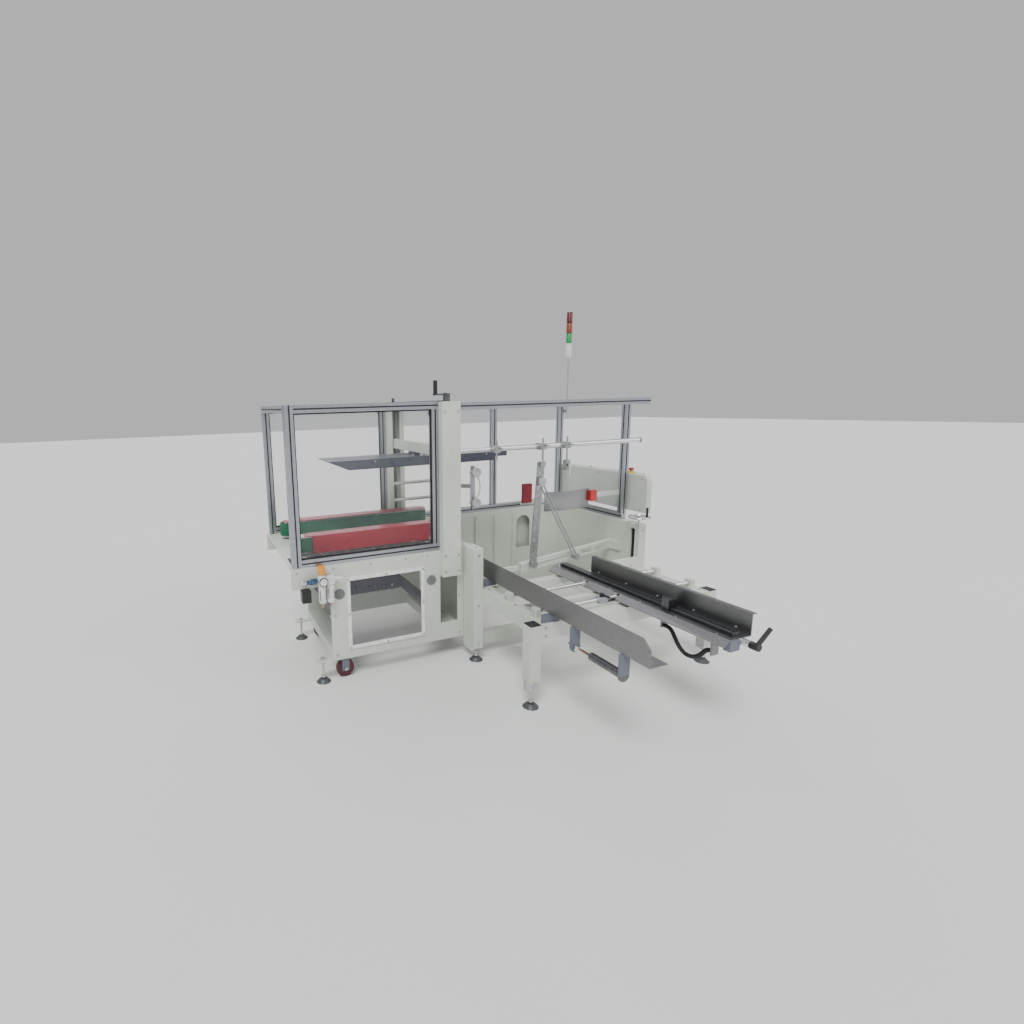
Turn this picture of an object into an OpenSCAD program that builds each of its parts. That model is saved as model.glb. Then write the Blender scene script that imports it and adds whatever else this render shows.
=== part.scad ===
// Automatic case erector and bottom tape sealer with a blank magazine.
// Origin: centre of the footprint on the floor. X runs along the case's travel (outfeed at -X),
// Y runs away from the operator, Z is up. Millimetres.

/* [Overall] */
// Length along the case's travel
machine_len = 2400; // [2200:10:2900]
// Distance from the footprint's centre back to the rear face
rear_reach = 1035; // [1000:5:1250]
// Distance from the footprint's centre forward to the magazine's near end
front_reach = 1035; // [1000:5:1250]
// Height of the deck's top face
deck_height = 640; // [620:5:800]
// Height of the guard above the deck
guard_height = 809; // [700:5:1000]
// Near face of the machine's body, from the footprint's centre
near_face = 190; // [170:1:200]

/* [Body] */
// Height of the upper box
box_height = 110; // [90:1:140]
// Sheet thickness of the casings
sheet = 6; // [4:1:8]
// Right edge of the sealer section
sealer_right = -171; // [-180:1:-165]
// Height of the base plates above the floor
base_clear = 110; // [100:1:125]
// Width of the left floor beam
floor_beam_w = 100; // [90:1:110]
// Depth of the sealer's lower base
base_depth = 614; // [580:1:640]

/* [Masts and press] */
// Centre of the two masts along the machine
mast_x = -319; // [-330:1:-315]
// Width of a mast
mast_w = 108; // [104:1:120]
// Depth of the near mast
mast_depth = 110; // [104:1:120]
// Wall of a mast
mast_wall = 12; // [10:1:14]
// Diameter of the lift screws
screw_d = 20; // [16:1:24]
// Width of the hold-down ski
ski_w = 250; // [200:1:260]
// Height of the ski's lower edge at rest
ski_z = 1075; // [1060:1:1110]

/* [Belts] */
// Gap between the two belts at rest
belt_gap = 330; // [300:1:340]
// Width of the belt band
belt_band = 76; // [70:1:80]
// Thickness of the belt
belt_t = 3; // [2:1:4]
// Outside depth of one belt loop
belt_loop = 85; // [80:1:90]

/* [Guards] */
// Width of the slotted profile
profile_w = 40; // [38:1:42]
// Thickness of the clear panels
panel_t = 5; // [4:1:6]

/* [Magazine] */
// Distance from the body's near face to the magazine's front beam
magazine_reach = 638; // [600:1:660]
// Width between the magazine's outer faces
magazine_w = 1062; // [1050:1:1070]
// Side of the magazine's main tubes
tube_w = 50; // [45:1:55]
// Diameter of the chrome guide shafts
shaft_d = 20; // [16:1:24]
// Left edge of the channel rail
channel_x = 356; // [330:1:380]
// Width of the channel rail
channel_w = 117; // [110:1:125]

/* [Fits] */
// Radial clearance of a shaft that turns or slides in its bore
run_fit = 0.05; // [0.02:0.01:0.1]
// Gap between parts that slide past each other
slide_gap = 0.3; // [0.25:0.05:0.5]

/* [Hidden] */
$fn = 48;

painted = [0.80, 0.83, 0.80];
blue_grey = [0.33, 0.38, 0.44];
aluminium = [0.72, 0.74, 0.75];
chrome = [0.86, 0.87, 0.88];
black = [0.10, 0.10, 0.11];
clear = [0.80, 0.88, 0.90, 0.35];

left_x = -machine_len / 2;
right_x = machine_len / 2;
body_left = left_x + 196;
base_right = sealer_right - 59;
box_bottom = deck_height - box_height;
guard_top = deck_height + guard_height;
base_rear = near_face + base_depth;
foot_lip_y = [near_face + 17, base_rear - 20];
foot_left_x = body_left - 53;
foot_stem_d = 12;
deck_under = deck_height - sheet;

// Box from its corner pairs
module block(x, y, z) {
    translate([x[0], y[0], z[0]]) cube([x[1] - x[0], y[1] - y[0], z[1] - z[0]]);
}

module rod_x(d, x, y, z) {
    translate([x[0], y, z]) rotate([0, 90, 0]) cylinder(d = d, h = x[1] - x[0]);
}

module rod_y(d, x, y, z) {
    translate([x, y[0], z]) rotate([-90, 0, 0]) cylinder(d = d, h = y[1] - y[0]);
}

module rod_z(d, x, y, z) {
    translate([x, y, z[0]]) cylinder(d = d, h = z[1] - z[0]);
}

// Runs its children's +Z from point a towards point b
module aim(a, b) {
    v = b - a;
    flat = norm([v[0], v[1]]);
    translate(a) rotate([0, atan2(flat, v[2]), atan2(v[1], v[0])]) children();
}

// Cross-section of a slotted aluminium profile, w by h, with a slot every profile_w
slot_w = 8;
slot_depth = 6;
slot_gap = 0.5;
module slot_section(w, h) {
    difference() {
        square([w, h]);
        for (k = [0 : round(w / profile_w) - 1], y = [-1, h - slot_depth])
            translate([(k + 0.5) * w / round(w / profile_w) - slot_w / 2, y])
                square([slot_w, slot_depth + 1]);
        for (k = [0 : round(h / profile_w) - 1], x = [-1, w - slot_depth])
            translate([x, (k + 0.5) * h / round(h / profile_w) - slot_w / 2])
                square([slot_depth + 1, slot_w]);
    }
}

// Slotted profiles from corner pairs, standing, along X and along Y
module profile_z(x, y, z) {
    translate([x[0], y[0], z[0]]) linear_extrude(z[1] - z[0])
        slot_section(x[1] - x[0], y[1] - y[0]);
}

module profile_x(x, y, z) {
    translate([x[0], y[0], z[0]]) rotate([90, 0, 90]) linear_extrude(x[1] - x[0])
        slot_section(y[1] - y[0], z[1] - z[0]);
}

module profile_y(x, y, z) {
    translate([x[0], y[1], z[0]]) rotate([90, 0, 0]) linear_extrude(y[1] - y[0])
        slot_section(x[1] - x[0], z[1] - z[0]);
}

// ---- Base, deck and window ----

window_x = [body_left + 107, body_left + 512];
window_z = [180, 540];
window_rim = 20;
window_lap = 10;
mast_near_y = [near_face - 41, near_face - 41 + mast_depth];
mast_far_y = [rear_reach - 95, rear_reach];
mast_bottom = 494;
mast_side_x = [mast_x - mast_w / 2, mast_x + mast_w / 2];
hatch_z = 212;
beam_top = base_clear + 60;
skirt_x = [body_left, base_right];

module base_frame() color(painted) {
    // near side sheet with the window and the hatch below the near mast
    difference() {
        union() {
            block([left_x, sealer_right], [near_face, near_face + sheet], [box_bottom, deck_height]);
            block(skirt_x, [near_face, near_face + sheet], [base_clear, box_bottom]);
        }
        block(window_x - [window_lap, -window_lap], [near_face - 1, near_face + sheet + 1],
            window_z - [window_lap, -window_lap]);
        block(mast_side_x, [near_face - 1, near_face + sheet + 1], [hatch_z, deck_height + 1]);
    }
    block([left_x, sealer_right], [rear_reach - sheet, rear_reach], [box_bottom, deck_height]);
    difference() {
        block([body_left, base_right], [base_rear - sheet, base_rear], [base_clear, deck_under]);
        // notches that the far unit's hangers pass through as it is set to width
        for (x = hanger_x)
            block([x, x] + hanger_boss_w * [-0.5, 0.5] + notch_fit * [-1, 1],
                [base_rear - sheet - 1, base_rear + 1],
                [belt_shaft_z - hanger_boss_low - notch_fit, deck_under + 1]);
    }
    // floor beams and the lips that carry the levelling screws
    for (x = [body_left, base_right - floor_beam_w])
        difference() {
            block([x, x + floor_beam_w], [near_face + sheet, base_rear - sheet],
                [base_clear, beam_top]);
            block([x + 5, x + floor_beam_w - 5], [near_face + sheet + 30, base_rear - sheet - 30],
                [base_clear + 5, beam_top - 5]);
        }
    for (y = foot_lip_y)
        difference() {
            block([body_left - 86, body_left], [y - 20, y + 20], [base_clear, base_clear + 12]);
            rod_z(foot_stem_d + 1, foot_left_x, y, [base_clear - 1, base_clear + 13]);
        }
}

strip_y = [near_face + 87, near_face + 210];
strip_x = [left_x + 20, sealer_right - 19];
case_y = 0.5 * (near_face + rear_reach) + 32.5;
tape_slot_x = [body_left + 74, body_left + 564];
tape_slot_w = 100;
belt_travel = 50;
belt_left = left_x + 61;
belt_right = sealer_right + 12;
near_belt_y = [case_y - belt_gap / 2 - belt_loop, case_y - belt_gap / 2];
far_belt_y = [case_y + belt_gap / 2, case_y + belt_gap / 2 + belt_loop];
hanger_x = [belt_left + 139, belt_right - 281];
hanger_w = 20;
hanger_boss_w = 36;
hanger_boss_low = 20;
notch_fit = 3;
near_hanger_y = [near_belt_y[1] - 22, near_belt_y[1] - 2];
far_hanger_y = [far_belt_y[0] + 2, far_belt_y[0] + 22];
belt_shaft_z = deck_height - 50;

module deck_plate() color(painted) {
    difference() {
        block([left_x, sealer_right], [near_face + sheet, rear_reach - sheet],
            [deck_under, deck_height]);
        block(strip_x, strip_y, [deck_under - 1, deck_height + 1]);
        block(mast_side_x, [near_face, mast_near_y[1]], [deck_under - 1, deck_height + 1]);
        block(tape_slot_x, [case_y - tape_slot_w / 2, case_y + tape_slot_w / 2],
            [deck_under - 1, deck_height + 1]);
        for (x = hanger_x, y = [near_hanger_y, far_hanger_y])
            block([x - hanger_w / 2 - 2, x + hanger_w / 2 + 2],
                y + [-belt_travel - 3, belt_travel + 3], [deck_under - 1, deck_height + 1]);
    }
}

roller_d = 28;
roller_pitch = 75;
module roller_strip() {
    strip_bottom = deck_height - 30;
    color(black) difference() {
        block(strip_x, strip_y, [strip_bottom, deck_height]);
        block(strip_x + [-1, 1], strip_y + [3, -3], [strip_bottom + 3, deck_height + 1]);
    }
    color(aluminium)
        for (x = [strip_x[0] + 30 : roller_pitch : strip_x[1] - 20])
            rod_y(roller_d, x, strip_y + [3, -3], deck_height - 8);
}

module window_border() color("white") {
    difference() {
        block(window_x - [window_rim, -window_rim], [near_face - sheet, near_face],
            window_z - [window_rim, -window_rim]);
        block(window_x, [near_face - sheet - 1, near_face + 1], window_z);
    }
}

module window_pane() color(clear) {
    block(window_x - [window_lap, -window_lap], [near_face, near_face + panel_t],
        window_z - [window_lap, -window_lap]);
}

// ---- Bottom tape sealer ----

tape_x = [tape_slot_x[0] + 10, tape_slot_x[1] - 10];
tape_y = [case_y - 40, case_y + 40];
tape_plate_t = 5;
tape_roll_d = 200;
tape_roll_at = [tape_x[0] + 330, 420];
tape_arm_z = 560;
front_pivot_x = tape_x[0] + 130;
rear_pivot_x = tape_x[1] - 130;
tape_pin_d = 16;
tape_roller_d = 40;
tape_arm_len = 90;
hub_d = 60;

module tape_head_frame() color([0.25, 0.23, 0.30]) {
    for (y = [tape_y[0], tape_y[1] - tape_plate_t])
        block(tape_x, [y, y + tape_plate_t], [beam_top + 130, deck_under]);
    block(tape_x + [10, -10], [tape_y[0] + 1, tape_y[1] - 1], [beam_top + 131, beam_top + 140]);
    // pins between the cheeks
    for (x = [front_pivot_x, rear_pivot_x])
        rod_y(tape_pin_d, x, tape_y + [1, -1], tape_arm_z);
    rod_y(hub_d, tape_roll_at[0], tape_y + [1, -1], tape_roll_at[1]);
    // rails that carry the head, from the near to the far sheet
    for (x = [[tape_x[0] - 40, tape_x[0] + 4], [tape_x[1] - 4, tape_x[1] + 40]])
        block(x, [near_face + sheet, base_rear - sheet], [beam_top + 140, beam_top + 180]);
}

module tape_roll() color([0.75, 0.62, 0.42]) {
    translate([tape_roll_at[0], tape_y[0] + 14, tape_roll_at[1]]) rotate([-90, 0, 0])
        difference() {
            cylinder(d = tape_roll_d, h = 52);
            translate([0, 0, -1]) cylinder(d = hub_d + 2 * run_fit, h = 54);
        }
}

// Arm with its roller, from the pivot at x, reaching to side s; the roller stands above the deck
module tape_arm(x, s) {
    tip = [x + s * tape_arm_len * cos(70), tape_arm_z + tape_arm_len * sin(70)];
    arm_y = tape_y + [tape_plate_t + 8, -tape_plate_t - 8];
    difference() {
        union() {
            rod_y(30, x, arm_y, tape_arm_z);
            translate([x, arm_y[0], tape_arm_z]) rotate([0, s > 0 ? -70 : -110, 0])
                translate([tape_pin_d / 2 + 3, 2, -9])
                    cube([tape_arm_len - 20, arm_y[1] - arm_y[0] - 4, 18]);
            rod_y(tape_roller_d, tip[0], arm_y, tip[1]);
        }
        rod_y(tape_pin_d + 2 * run_fit, x, arm_y + [-1, 1], tape_arm_z);
    }
}

module tape_front_arm() color(black) tape_arm(front_pivot_x, -1);
module tape_rear_arm() color(black) tape_arm(rear_pivot_x, 1);

// ---- Masts, top plate and press ----

screw_near_y = mast_near_y[0] + 56;
screw_far_y = mast_far_y[0] + 47;
lip = 16;
lip_t = 8;

// C-shaped mast over y, open towards side s (+1 opens at y[1], -1 at y[0])
module mast(y, z, s, screw_y) {
    inner_x = mast_side_x + [mast_wall, -mast_wall];
    inner_y = s > 0 ? [y[0] + mast_wall, y[1] - lip_t] : [y[0] + lip_t, y[1] - mast_wall];
    mouth_y = s > 0 ? [y[1] - lip_t - 1, y[1] + 1] : [y[0] - 1, y[0] + lip_t + 1];
    difference() {
        block(mast_side_x, y, z);
        block(inner_x, inner_y, z + [mast_wall, -mast_wall]);
        block(inner_x + [lip, -lip], mouth_y, z + [mast_wall, -mast_wall]);
        rod_z(screw_d + 2 * run_fit, mast_x, screw_y, z + [mast_wall / 2, 1]);
    }
}

module near_column() color(painted)
    mast(mast_near_y, [mast_bottom, guard_top - 2], 1, screw_near_y);

module far_column() color(painted)
    mast(mast_far_y, [deck_height, guard_top - 2], -1, screw_far_y);

module top_cover_plate() color(black) {
    difference() {
        block([mast_x - 36, mast_x + 36], [screw_near_y + 26, rear_reach - 15],
            [guard_top - 2, guard_top + 4]);
        rod_z(screw_d + 4, mast_x, screw_far_y, [guard_top - 3, guard_top + 5]);
    }
}

// Lift screw between the mast's floor bore and its top bore
module lift_screw(y, bottom) {
    rod_z(screw_d, mast_x, y, [bottom + mast_wall / 2 + slide_gap, guard_top + 30]);
}

crank_hub_d = 38;
crank_arm = 65;
crank_z = guard_top + 30;
module top_crank() {
    color(chrome) lift_screw(screw_near_y, mast_bottom);
    color(chrome) difference() {
        rod_z(crank_hub_d, mast_x, screw_near_y, [guard_top - 2 + slide_gap, crank_z + 12]);
        rod_z(screw_d - 2, mast_x, screw_near_y, [guard_top - 3, crank_z]);
    }
    color(chrome)
        block([mast_x - crank_arm - 10, mast_x - crank_hub_d / 2 + 4],
            [screw_near_y - 9, screw_near_y + 9], [crank_z, crank_z + 10]);
    color(black) rod_z(22, mast_x - crank_arm, screw_near_y, [crank_z + 10, crank_z + 78]);
}

module far_spindle() color(chrome) lift_screw(screw_far_y, deck_height);

beam_z = [ski_z + 75, ski_z + 135];
beam_w = 40;
module cross_beam() color(painted) {
    x = [mast_x - beam_w / 2, mast_x + beam_w / 2];
    difference() {
        block(x, [screw_near_y - 24, screw_far_y + 22], beam_z);
        for (y = [screw_near_y, screw_far_y])
            rod_z(screw_d + 2 * run_fit, mast_x, y, beam_z + [-1, 1]);
        block(x + [4, -4], [mast_near_y[1] + 10, mast_far_y[0] - 10], beam_z + [4, -4]);
    }
}

ski_x = [body_left + 106, base_right + 406];
ski_y = [case_y + 5 - ski_w / 2, case_y + 5 + ski_w / 2];
ski_h = 55;
tail_len = 145;
module hold_down_ski() color(blue_grey) {
    difference() {
        block(ski_x, ski_y, [ski_z, ski_z + ski_h]);
        block(ski_x + [-1, 1], ski_y + [3, -3], [ski_z - 1, ski_z + ski_h - 4]);
        // slanted entry of both flanges
        translate([ski_x[0], ski_y[0] - 1, ski_z + ski_h]) rotate([-90, 0, 0])
            linear_extrude(ski_w + 2) polygon([[-1, 4], [4, 4], [122, ski_h + 1], [-1, ski_h + 1]]);
    }
    block([ski_x[1], ski_x[1] + tail_len], ski_y + [75, -75], [ski_z + 15, ski_z + ski_h]);
    block([mast_x - beam_w / 2, mast_x + beam_w / 2], ski_y + [80, -80],
        [ski_z + ski_h, beam_z[0]]);
}

// ---- Belt units ----

belt_z = [deck_height + 22, deck_height + 22 + belt_band];
belt_x = [belt_left, belt_right];
drum_r = belt_loop / 2 - belt_t - 0.1;
drum_pin_d = 16;
drum_gap = 2;

// Solid outline with round ends, made of exact arcs
module stadium(x, w, h) {
    linear_extrude(h) union() {
        for (c = [x[0] + w / 2, x[1] - w / 2]) translate([c, 0]) circle(d = w);
        translate([x[0] + w / 2, -w / 2]) square([x[1] - x[0] - w, w]);
    }
}

module belt(y) {
    translate([0, (y[0] + y[1]) / 2, belt_z[0]]) difference() {
        stadium(belt_x, belt_loop, belt_band);
        translate([0, 0, -1]) stadium(belt_x + [belt_t, -belt_t], belt_loop - 2 * belt_t,
            belt_band + 2);
    }
}

module drum(x, y) {
    translate([x, (y[0] + y[1]) / 2, belt_z[0] + drum_gap]) difference() {
        cylinder(r = drum_r, h = belt_band - 2 * drum_gap);
        translate([0, 0, -1]) cylinder(d = drum_pin_d + 2 * run_fit, h = belt_band);
    }
}

drum_x = [belt_left + belt_loop / 2, belt_right - belt_loop / 2];
plate_z = [deck_height + 12, belt_z[1] + 8];

// Frame inside the belt, drum pins, and hangers down to the cross shafts
module carriage(y, hanger_y) {
    mid = (y[0] + y[1]) / 2;
    block([drum_x[0] + 55, drum_x[1] - 55], [mid - 36, mid + 36], belt_z);
    for (z = [[plate_z[0], belt_z[0] - 1], [belt_z[1] + 1, plate_z[1]]])
        block([drum_x[0] - 20, drum_x[1] + 20], [mid - 38, mid + 38], z);
    for (z = [[belt_z[0] - 1, belt_z[0]], [belt_z[1], belt_z[1] + 1]])
        block([drum_x[0] + 55, drum_x[1] - 55], [mid - 36, mid + 36], z);
    for (x = drum_x)
        rod_z(drum_pin_d, x, mid, [plate_z[0], plate_z[1]]);
    for (x = hanger_x)
        difference() {
            union() {
                block([x - hanger_w / 2, x + hanger_w / 2], hanger_y,
                    [belt_shaft_z, plate_z[0]]);
                block([x, x] + hanger_boss_w * [-0.5, 0.5], hanger_y + [-8, 8],
                    [belt_shaft_z - hanger_boss_low, belt_shaft_z + 17]);
            }
            rod_y(shaft_d + 2 * run_fit, x, hanger_y + [-9, 9], belt_shaft_z);
        }
}

guide_bar_x = [mast_x - 208, mast_x + 23];
guide_bar_z = [deck_height + 252, deck_height + 349];
module near_carriage() {
    color(aluminium) carriage(near_belt_y, near_hanger_y);
    // upright with the two side guide bars
    guide_y = near_belt_y[1] - 25;
    color(aluminium)
        block([guide_bar_x[1], guide_bar_x[1] + 34], [guide_y - 10, guide_y + 10],
            [plate_z[1], guide_bar_z[1] + 20]);
    for (z = guide_bar_z)
        color("gray") rod_x(18, guide_bar_x + [0, 1], guide_y, z);
}

cover_t = 4;
cover_x = [belt_left + 61, belt_right - 6];
module near_cover() color([0.55, 0.10, 0.16]) {
    mid = (near_belt_y[0] + near_belt_y[1]) / 2;
    difference() {
        translate([0, mid - 6, plate_z[1]]) stadium(cover_x, belt_loop, cover_t);
        block([guide_bar_x[1] - 1, guide_bar_x[1] + 35], [near_belt_y[1] - 36, near_belt_y[1] + 1],
            [plate_z[1] - 1, plate_z[1] + cover_t + 1]);
    }
    block(cover_x + [40, -40], [mid - 6 - belt_loop / 2, mid - 2 - belt_loop / 2],
        [plate_z[0], plate_z[1]]);
}

module near_belt() color([0.10, 0.35, 0.22]) belt(near_belt_y);
module near_drum_left() color("dimgray") drum(drum_x[0], near_belt_y);
module near_drum_right() color("dimgray") drum(drum_x[1], near_belt_y);
module far_carriage() {
    color(aluminium) carriage(far_belt_y, far_hanger_y);
    color([0.55, 0.10, 0.16])
        translate([0, (far_belt_y[0] + far_belt_y[1]) / 2, plate_z[1]])
            stadium(cover_x, belt_loop, cover_t);
}
module far_belt() color([0.08, 0.30, 0.20]) belt(far_belt_y);
module far_drum_left() color("dimgray") drum(drum_x[0], far_belt_y);
module far_drum_right() color("dimgray") drum(drum_x[1], far_belt_y);

// ---- Guards ----

pit_right = right_x - 169;
pit_wall = 60;
pit_bottom = 62;
guard_left_x = left_x + 17;
left_post_x = [guard_left_x, guard_left_x + profile_w];
mid_post_x = [mast_side_x[0] - profile_w, mast_side_x[0]];
near_row = [near_face, near_face + profile_w];
far_row = [rear_reach - profile_w, rear_reach];
rail_low = [deck_height, deck_height + profile_w];
rail_high = [guard_top - profile_w, guard_top];
right_row = [pit_right + 15, pit_right + 15 + profile_w];
right_top = guard_top - 9;
right_near_y = [near_face + 144, near_face + 144 + profile_w];
far_post_x = [pit_right - 577, pit_right - 577 + profile_w];
over_rail_y = [near_face - 6, near_face - 6 + profile_w];
pit_front_y = right_near_y[0] - 14;

module guard_frames() color(aluminium) {
    profile_z(left_post_x, [near_face, near_face + 2 * profile_w], [deck_height, guard_top]);
    profile_z(mid_post_x, near_row, [rail_low[1], rail_high[0]]);
    profile_z(left_post_x, far_row, [deck_height, guard_top]);
    profile_z(mid_post_x, far_row, [rail_low[1], rail_high[0]]);
    for (z = [rail_low, rail_high], y = [near_row, far_row])
        profile_x([left_post_x[1], mast_side_x[0]], y, z);
    profile_y(left_post_x, [near_face + 2 * profile_w, far_row[0]], rail_high);
    // right-hand guard
    profile_z(right_row, right_near_y, [rail_low[1], right_top - profile_w]);
    profile_z(right_row, far_row, [deck_height, right_top - profile_w]);
    profile_y(right_row, [right_near_y[0], far_row[0]], rail_low);
    profile_y(right_row, [over_rail_y[1], rear_reach], [right_top - profile_w, right_top]);
    profile_x([mast_side_x[1], right_row[1]], over_rail_y, [right_top - profile_w, right_top]);
    profile_x([mast_side_x[1], right_row[0]], far_row, rail_low);
    profile_x([mast_side_x[1], right_row[0]], far_row, [right_top - profile_w, right_top]);
    profile_z(far_post_x, far_row, [rail_low[1], right_top - profile_w]);
}

module guard_panels() color(clear) {
    inset = (profile_w - panel_t) / 2;
    // the panels' edges sit in the profiles' slots
    grow = [slot_gap - slot_depth, slot_depth - slot_gap];
    left_z = [rail_low[1], rail_high[0]] + grow;
    right_z = [rail_low[1], right_top - profile_w] + grow;
    for (y = [near_row[0], far_row[0]])
        block([left_post_x[1], mid_post_x[0]] + grow, [y + inset, y + inset + panel_t], left_z);
    for (x = [[mast_side_x[1] - grow[0], far_post_x[0]],
        [far_post_x[1], right_row[0] - grow[1]]])
        block(x + grow, [far_row[0] + inset, far_row[0] + inset + panel_t], right_z);
    block([right_row[0] + inset, right_row[0] + inset + panel_t],
        [right_near_y[1], far_row[0]] + grow, right_z);
}

// ---- Forming pit ----

post_at = [sealer_right + 31, case_y - 145];
post_d = 30;
arm_z = deck_height + 300;

module corner_post() color(painted) {
    y = [near_face - 122, near_face];
    x = [base_right + 1, sealer_right];
    difference() {
        block(x, y, [55, deck_height + 15]);
        // chamfered foot
        translate([(x[0] + x[1]) / 2, y[0], 55]) rotate([45, 0, 0])
            cube([x[1] - x[0] + 2, 30, 30], center = true);
        block(x + [4, -4], y + [4, -4], [65, deck_height + 11]);
    }
}

arch_x = pit_right - 310;
arch_w = 120;
arch_z = [330, 520];
module pit_walls() color(painted) {
    // left, far and right walls, each a closed casing
    block([sealer_right, sealer_right + sheet], [near_face + sheet, rear_reach - sheet],
        [pit_bottom, deck_height]);
    block([sealer_right, pit_right], [near_face - 55, near_face], [pit_bottom, pit_bottom + 65]);
    difference() {
        block([sealer_right + sheet, pit_right], [rear_reach - pit_wall, rear_reach],
            [pit_bottom, deck_height]);
        block([sealer_right + 2 * sheet, pit_right - sheet],
            [rear_reach - pit_wall + sheet, rear_reach - sheet],
            [pit_bottom + sheet, deck_height - sheet]);
        // arched clearance in the inner sheet
        translate([arch_x, rear_reach - pit_wall - 1, 0]) {
            block([-arch_w / 2, arch_w / 2], [0, sheet + 2], arch_z);
            rod_y(arch_w, 0, [0, sheet + 2], arch_z[1]);
        }
    }
    difference() {
        block([pit_right, pit_right + pit_wall], [pit_front_y, rear_reach],
            [pit_bottom, deck_height]);
        block([pit_right + sheet, pit_right + pit_wall - sheet],
            [pit_front_y + sheet, rear_reach - sheet], [pit_bottom + sheet, deck_height - sheet]);
    }
    // post with its collar for the suction arm
    block([sealer_right + sheet, post_at[0] + 20], [post_at[1] - 20, post_at[1] + 20],
        [deck_height - 40, deck_height]);
    rod_z(post_d, post_at[0], post_at[1], [deck_height, ski_z - 15]);
    rod_z(post_d + 14, post_at[0], post_at[1], [arm_z - 80, arm_z - 60]);
    // stiffening ribs on the far wall
    for (x = [sealer_right + 150 : 160 : pit_right - 60])
        if (abs(x - arch_x) > arch_w / 2 + 30)
            block([x, x + 20], [rear_reach - pit_wall - 12, rear_reach - pit_wall],
                [200, deck_height - 30]);
}

// ---- Right column and hand-wheel ----

column_x = [pit_right, pit_right + 57];
column_y = [near_face - 28, pit_front_y];
column_z = [60, deck_height - 2];
wheel_at = [column_x[0] + 15, column_y[0] + 20];
wheel_screw_d = 14;
wheel_d = 140;
wheel_rim_d = 14;
grip_r = 46;
column_slot_y = [column_y[0] + 35, column_y[0] + 71];

module right_column() color(painted) {
    difference() {
        block(column_x, column_y, column_z);
        block(column_x + [30, -5], column_y + [5, -5], column_z + [5, -5]);
        // guide slot in the pit side
        block([column_x[0] - 1, column_x[0] + 25], column_slot_y, [394, 605]);
        rod_z(wheel_screw_d + 2 * run_fit, wheel_at[0], wheel_at[1],
            [column_z[1] - 60, column_z[1] + 1]);
    }
}

module hand_wheel() {
    z = column_z[1] + 38;
    color(chrome) rod_z(wheel_screw_d, wheel_at[0], wheel_at[1], [column_z[1] - 59, z]);
    color(black) translate([wheel_at[0], wheel_at[1], 0]) {
        translate([0, 0, z + 6]) rotate_extrude() translate([wheel_d / 2 - 8, 0])
            circle(d = wheel_rim_d);
        translate([0, 0, z - 8]) cylinder(d = 34, h = 20);
        for (a = [90, 210, 330])
            rotate([0, 0, a]) translate([0, -5, z]) cube([wheel_d / 2 - 8, 10, 8]);
        rotate([0, 0, -30]) translate([grip_r, 0, z + 6]) cylinder(d = 14, h = 62);
    }
}

// ---- Magazine frame, legs and feet ----

mag_front = near_face - magazine_reach;
mag_z = [340, 420];
mag_left_x = [sealer_right, sealer_right + tube_w];
mag_right_x = [sealer_right + magazine_w - tube_w, sealer_right + magazine_w];
leg_w = 60;
leg_x = [mag_left_x[0] - leg_w, mag_right_x[1]];
leg_z = [138, mag_z[1] - 5];
shaft_y = [mag_front + 88, mag_front + 313];
shaft_z = mag_z[1] + 25;

module tube_block(x, y, z, wall = 4) {
    open = [x[1] - x[0], y[1] - y[0]];
    along_x = open[0] > open[1];
    difference() {
        block(x, y, z);
        block(x + (along_x ? [-1, 1] : [wall, -wall]), y + (along_x ? [wall, -wall] : [-1, 1]),
            z + [wall, -wall]);
    }
}

module magazine_frame() color(painted) {
    tube_block(mag_left_x, [mag_front + leg_w, near_face], mag_z);
    tube_block(mag_right_x, [mag_front + leg_w, near_face], mag_z);
    tube_block([mag_left_x[0], mag_right_x[1]], [mag_front, mag_front + leg_w], mag_z);
    for (y = [mag_front + 203, mag_front + 503])
        tube_block([mag_left_x[1], mag_right_x[0]], [y, y + 40], [mag_z[1] - 40, mag_z[1]]);
    tube_block([mag_right_x[1], pit_right], [near_face - 28, near_face], mag_z);
    // outer leg tubes with their square caps
    for (x = leg_x) {
        difference() {
            block([x, x + leg_w], [mag_front - 2, mag_front - 2 + leg_w], leg_z);
            block([x + 4, x + leg_w - 4], [mag_front + 2, mag_front - 6 + leg_w], leg_z + [-1, -4]);
        }
    }
    // blocks that hold the guide shafts
    for (x = [mag_left_x[0] + 20, mag_right_x[0] + 5], y = shaft_y)
        difference() {
            block([x, x + 28], [y - 20, y + 20], [mag_z[1], shaft_z + 18]);
            rod_x(shaft_d + 2 * run_fit, [x - 1, x + 29], y, shaft_z);
        }
}

// Feet: [x, y, z of the stem's top]
feet = [[foot_left_x, foot_lip_y[0], base_clear + 26], [foot_left_x, foot_lip_y[1], base_clear + 26],
    [base_right + 30, near_face - 95, 55],
    [leg_x[0] + leg_w / 2, mag_front - 2 + leg_w / 2, 82],
    [leg_x[1] + leg_w / 2, mag_front - 2 + leg_w / 2, 82],
    [pit_right + 29, near_face + 5, 60], [pit_right + 30, rear_reach - 45, pit_bottom],
    [sealer_right + 46, rear_reach - 45, pit_bottom]];
foot_d = 78;

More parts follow.
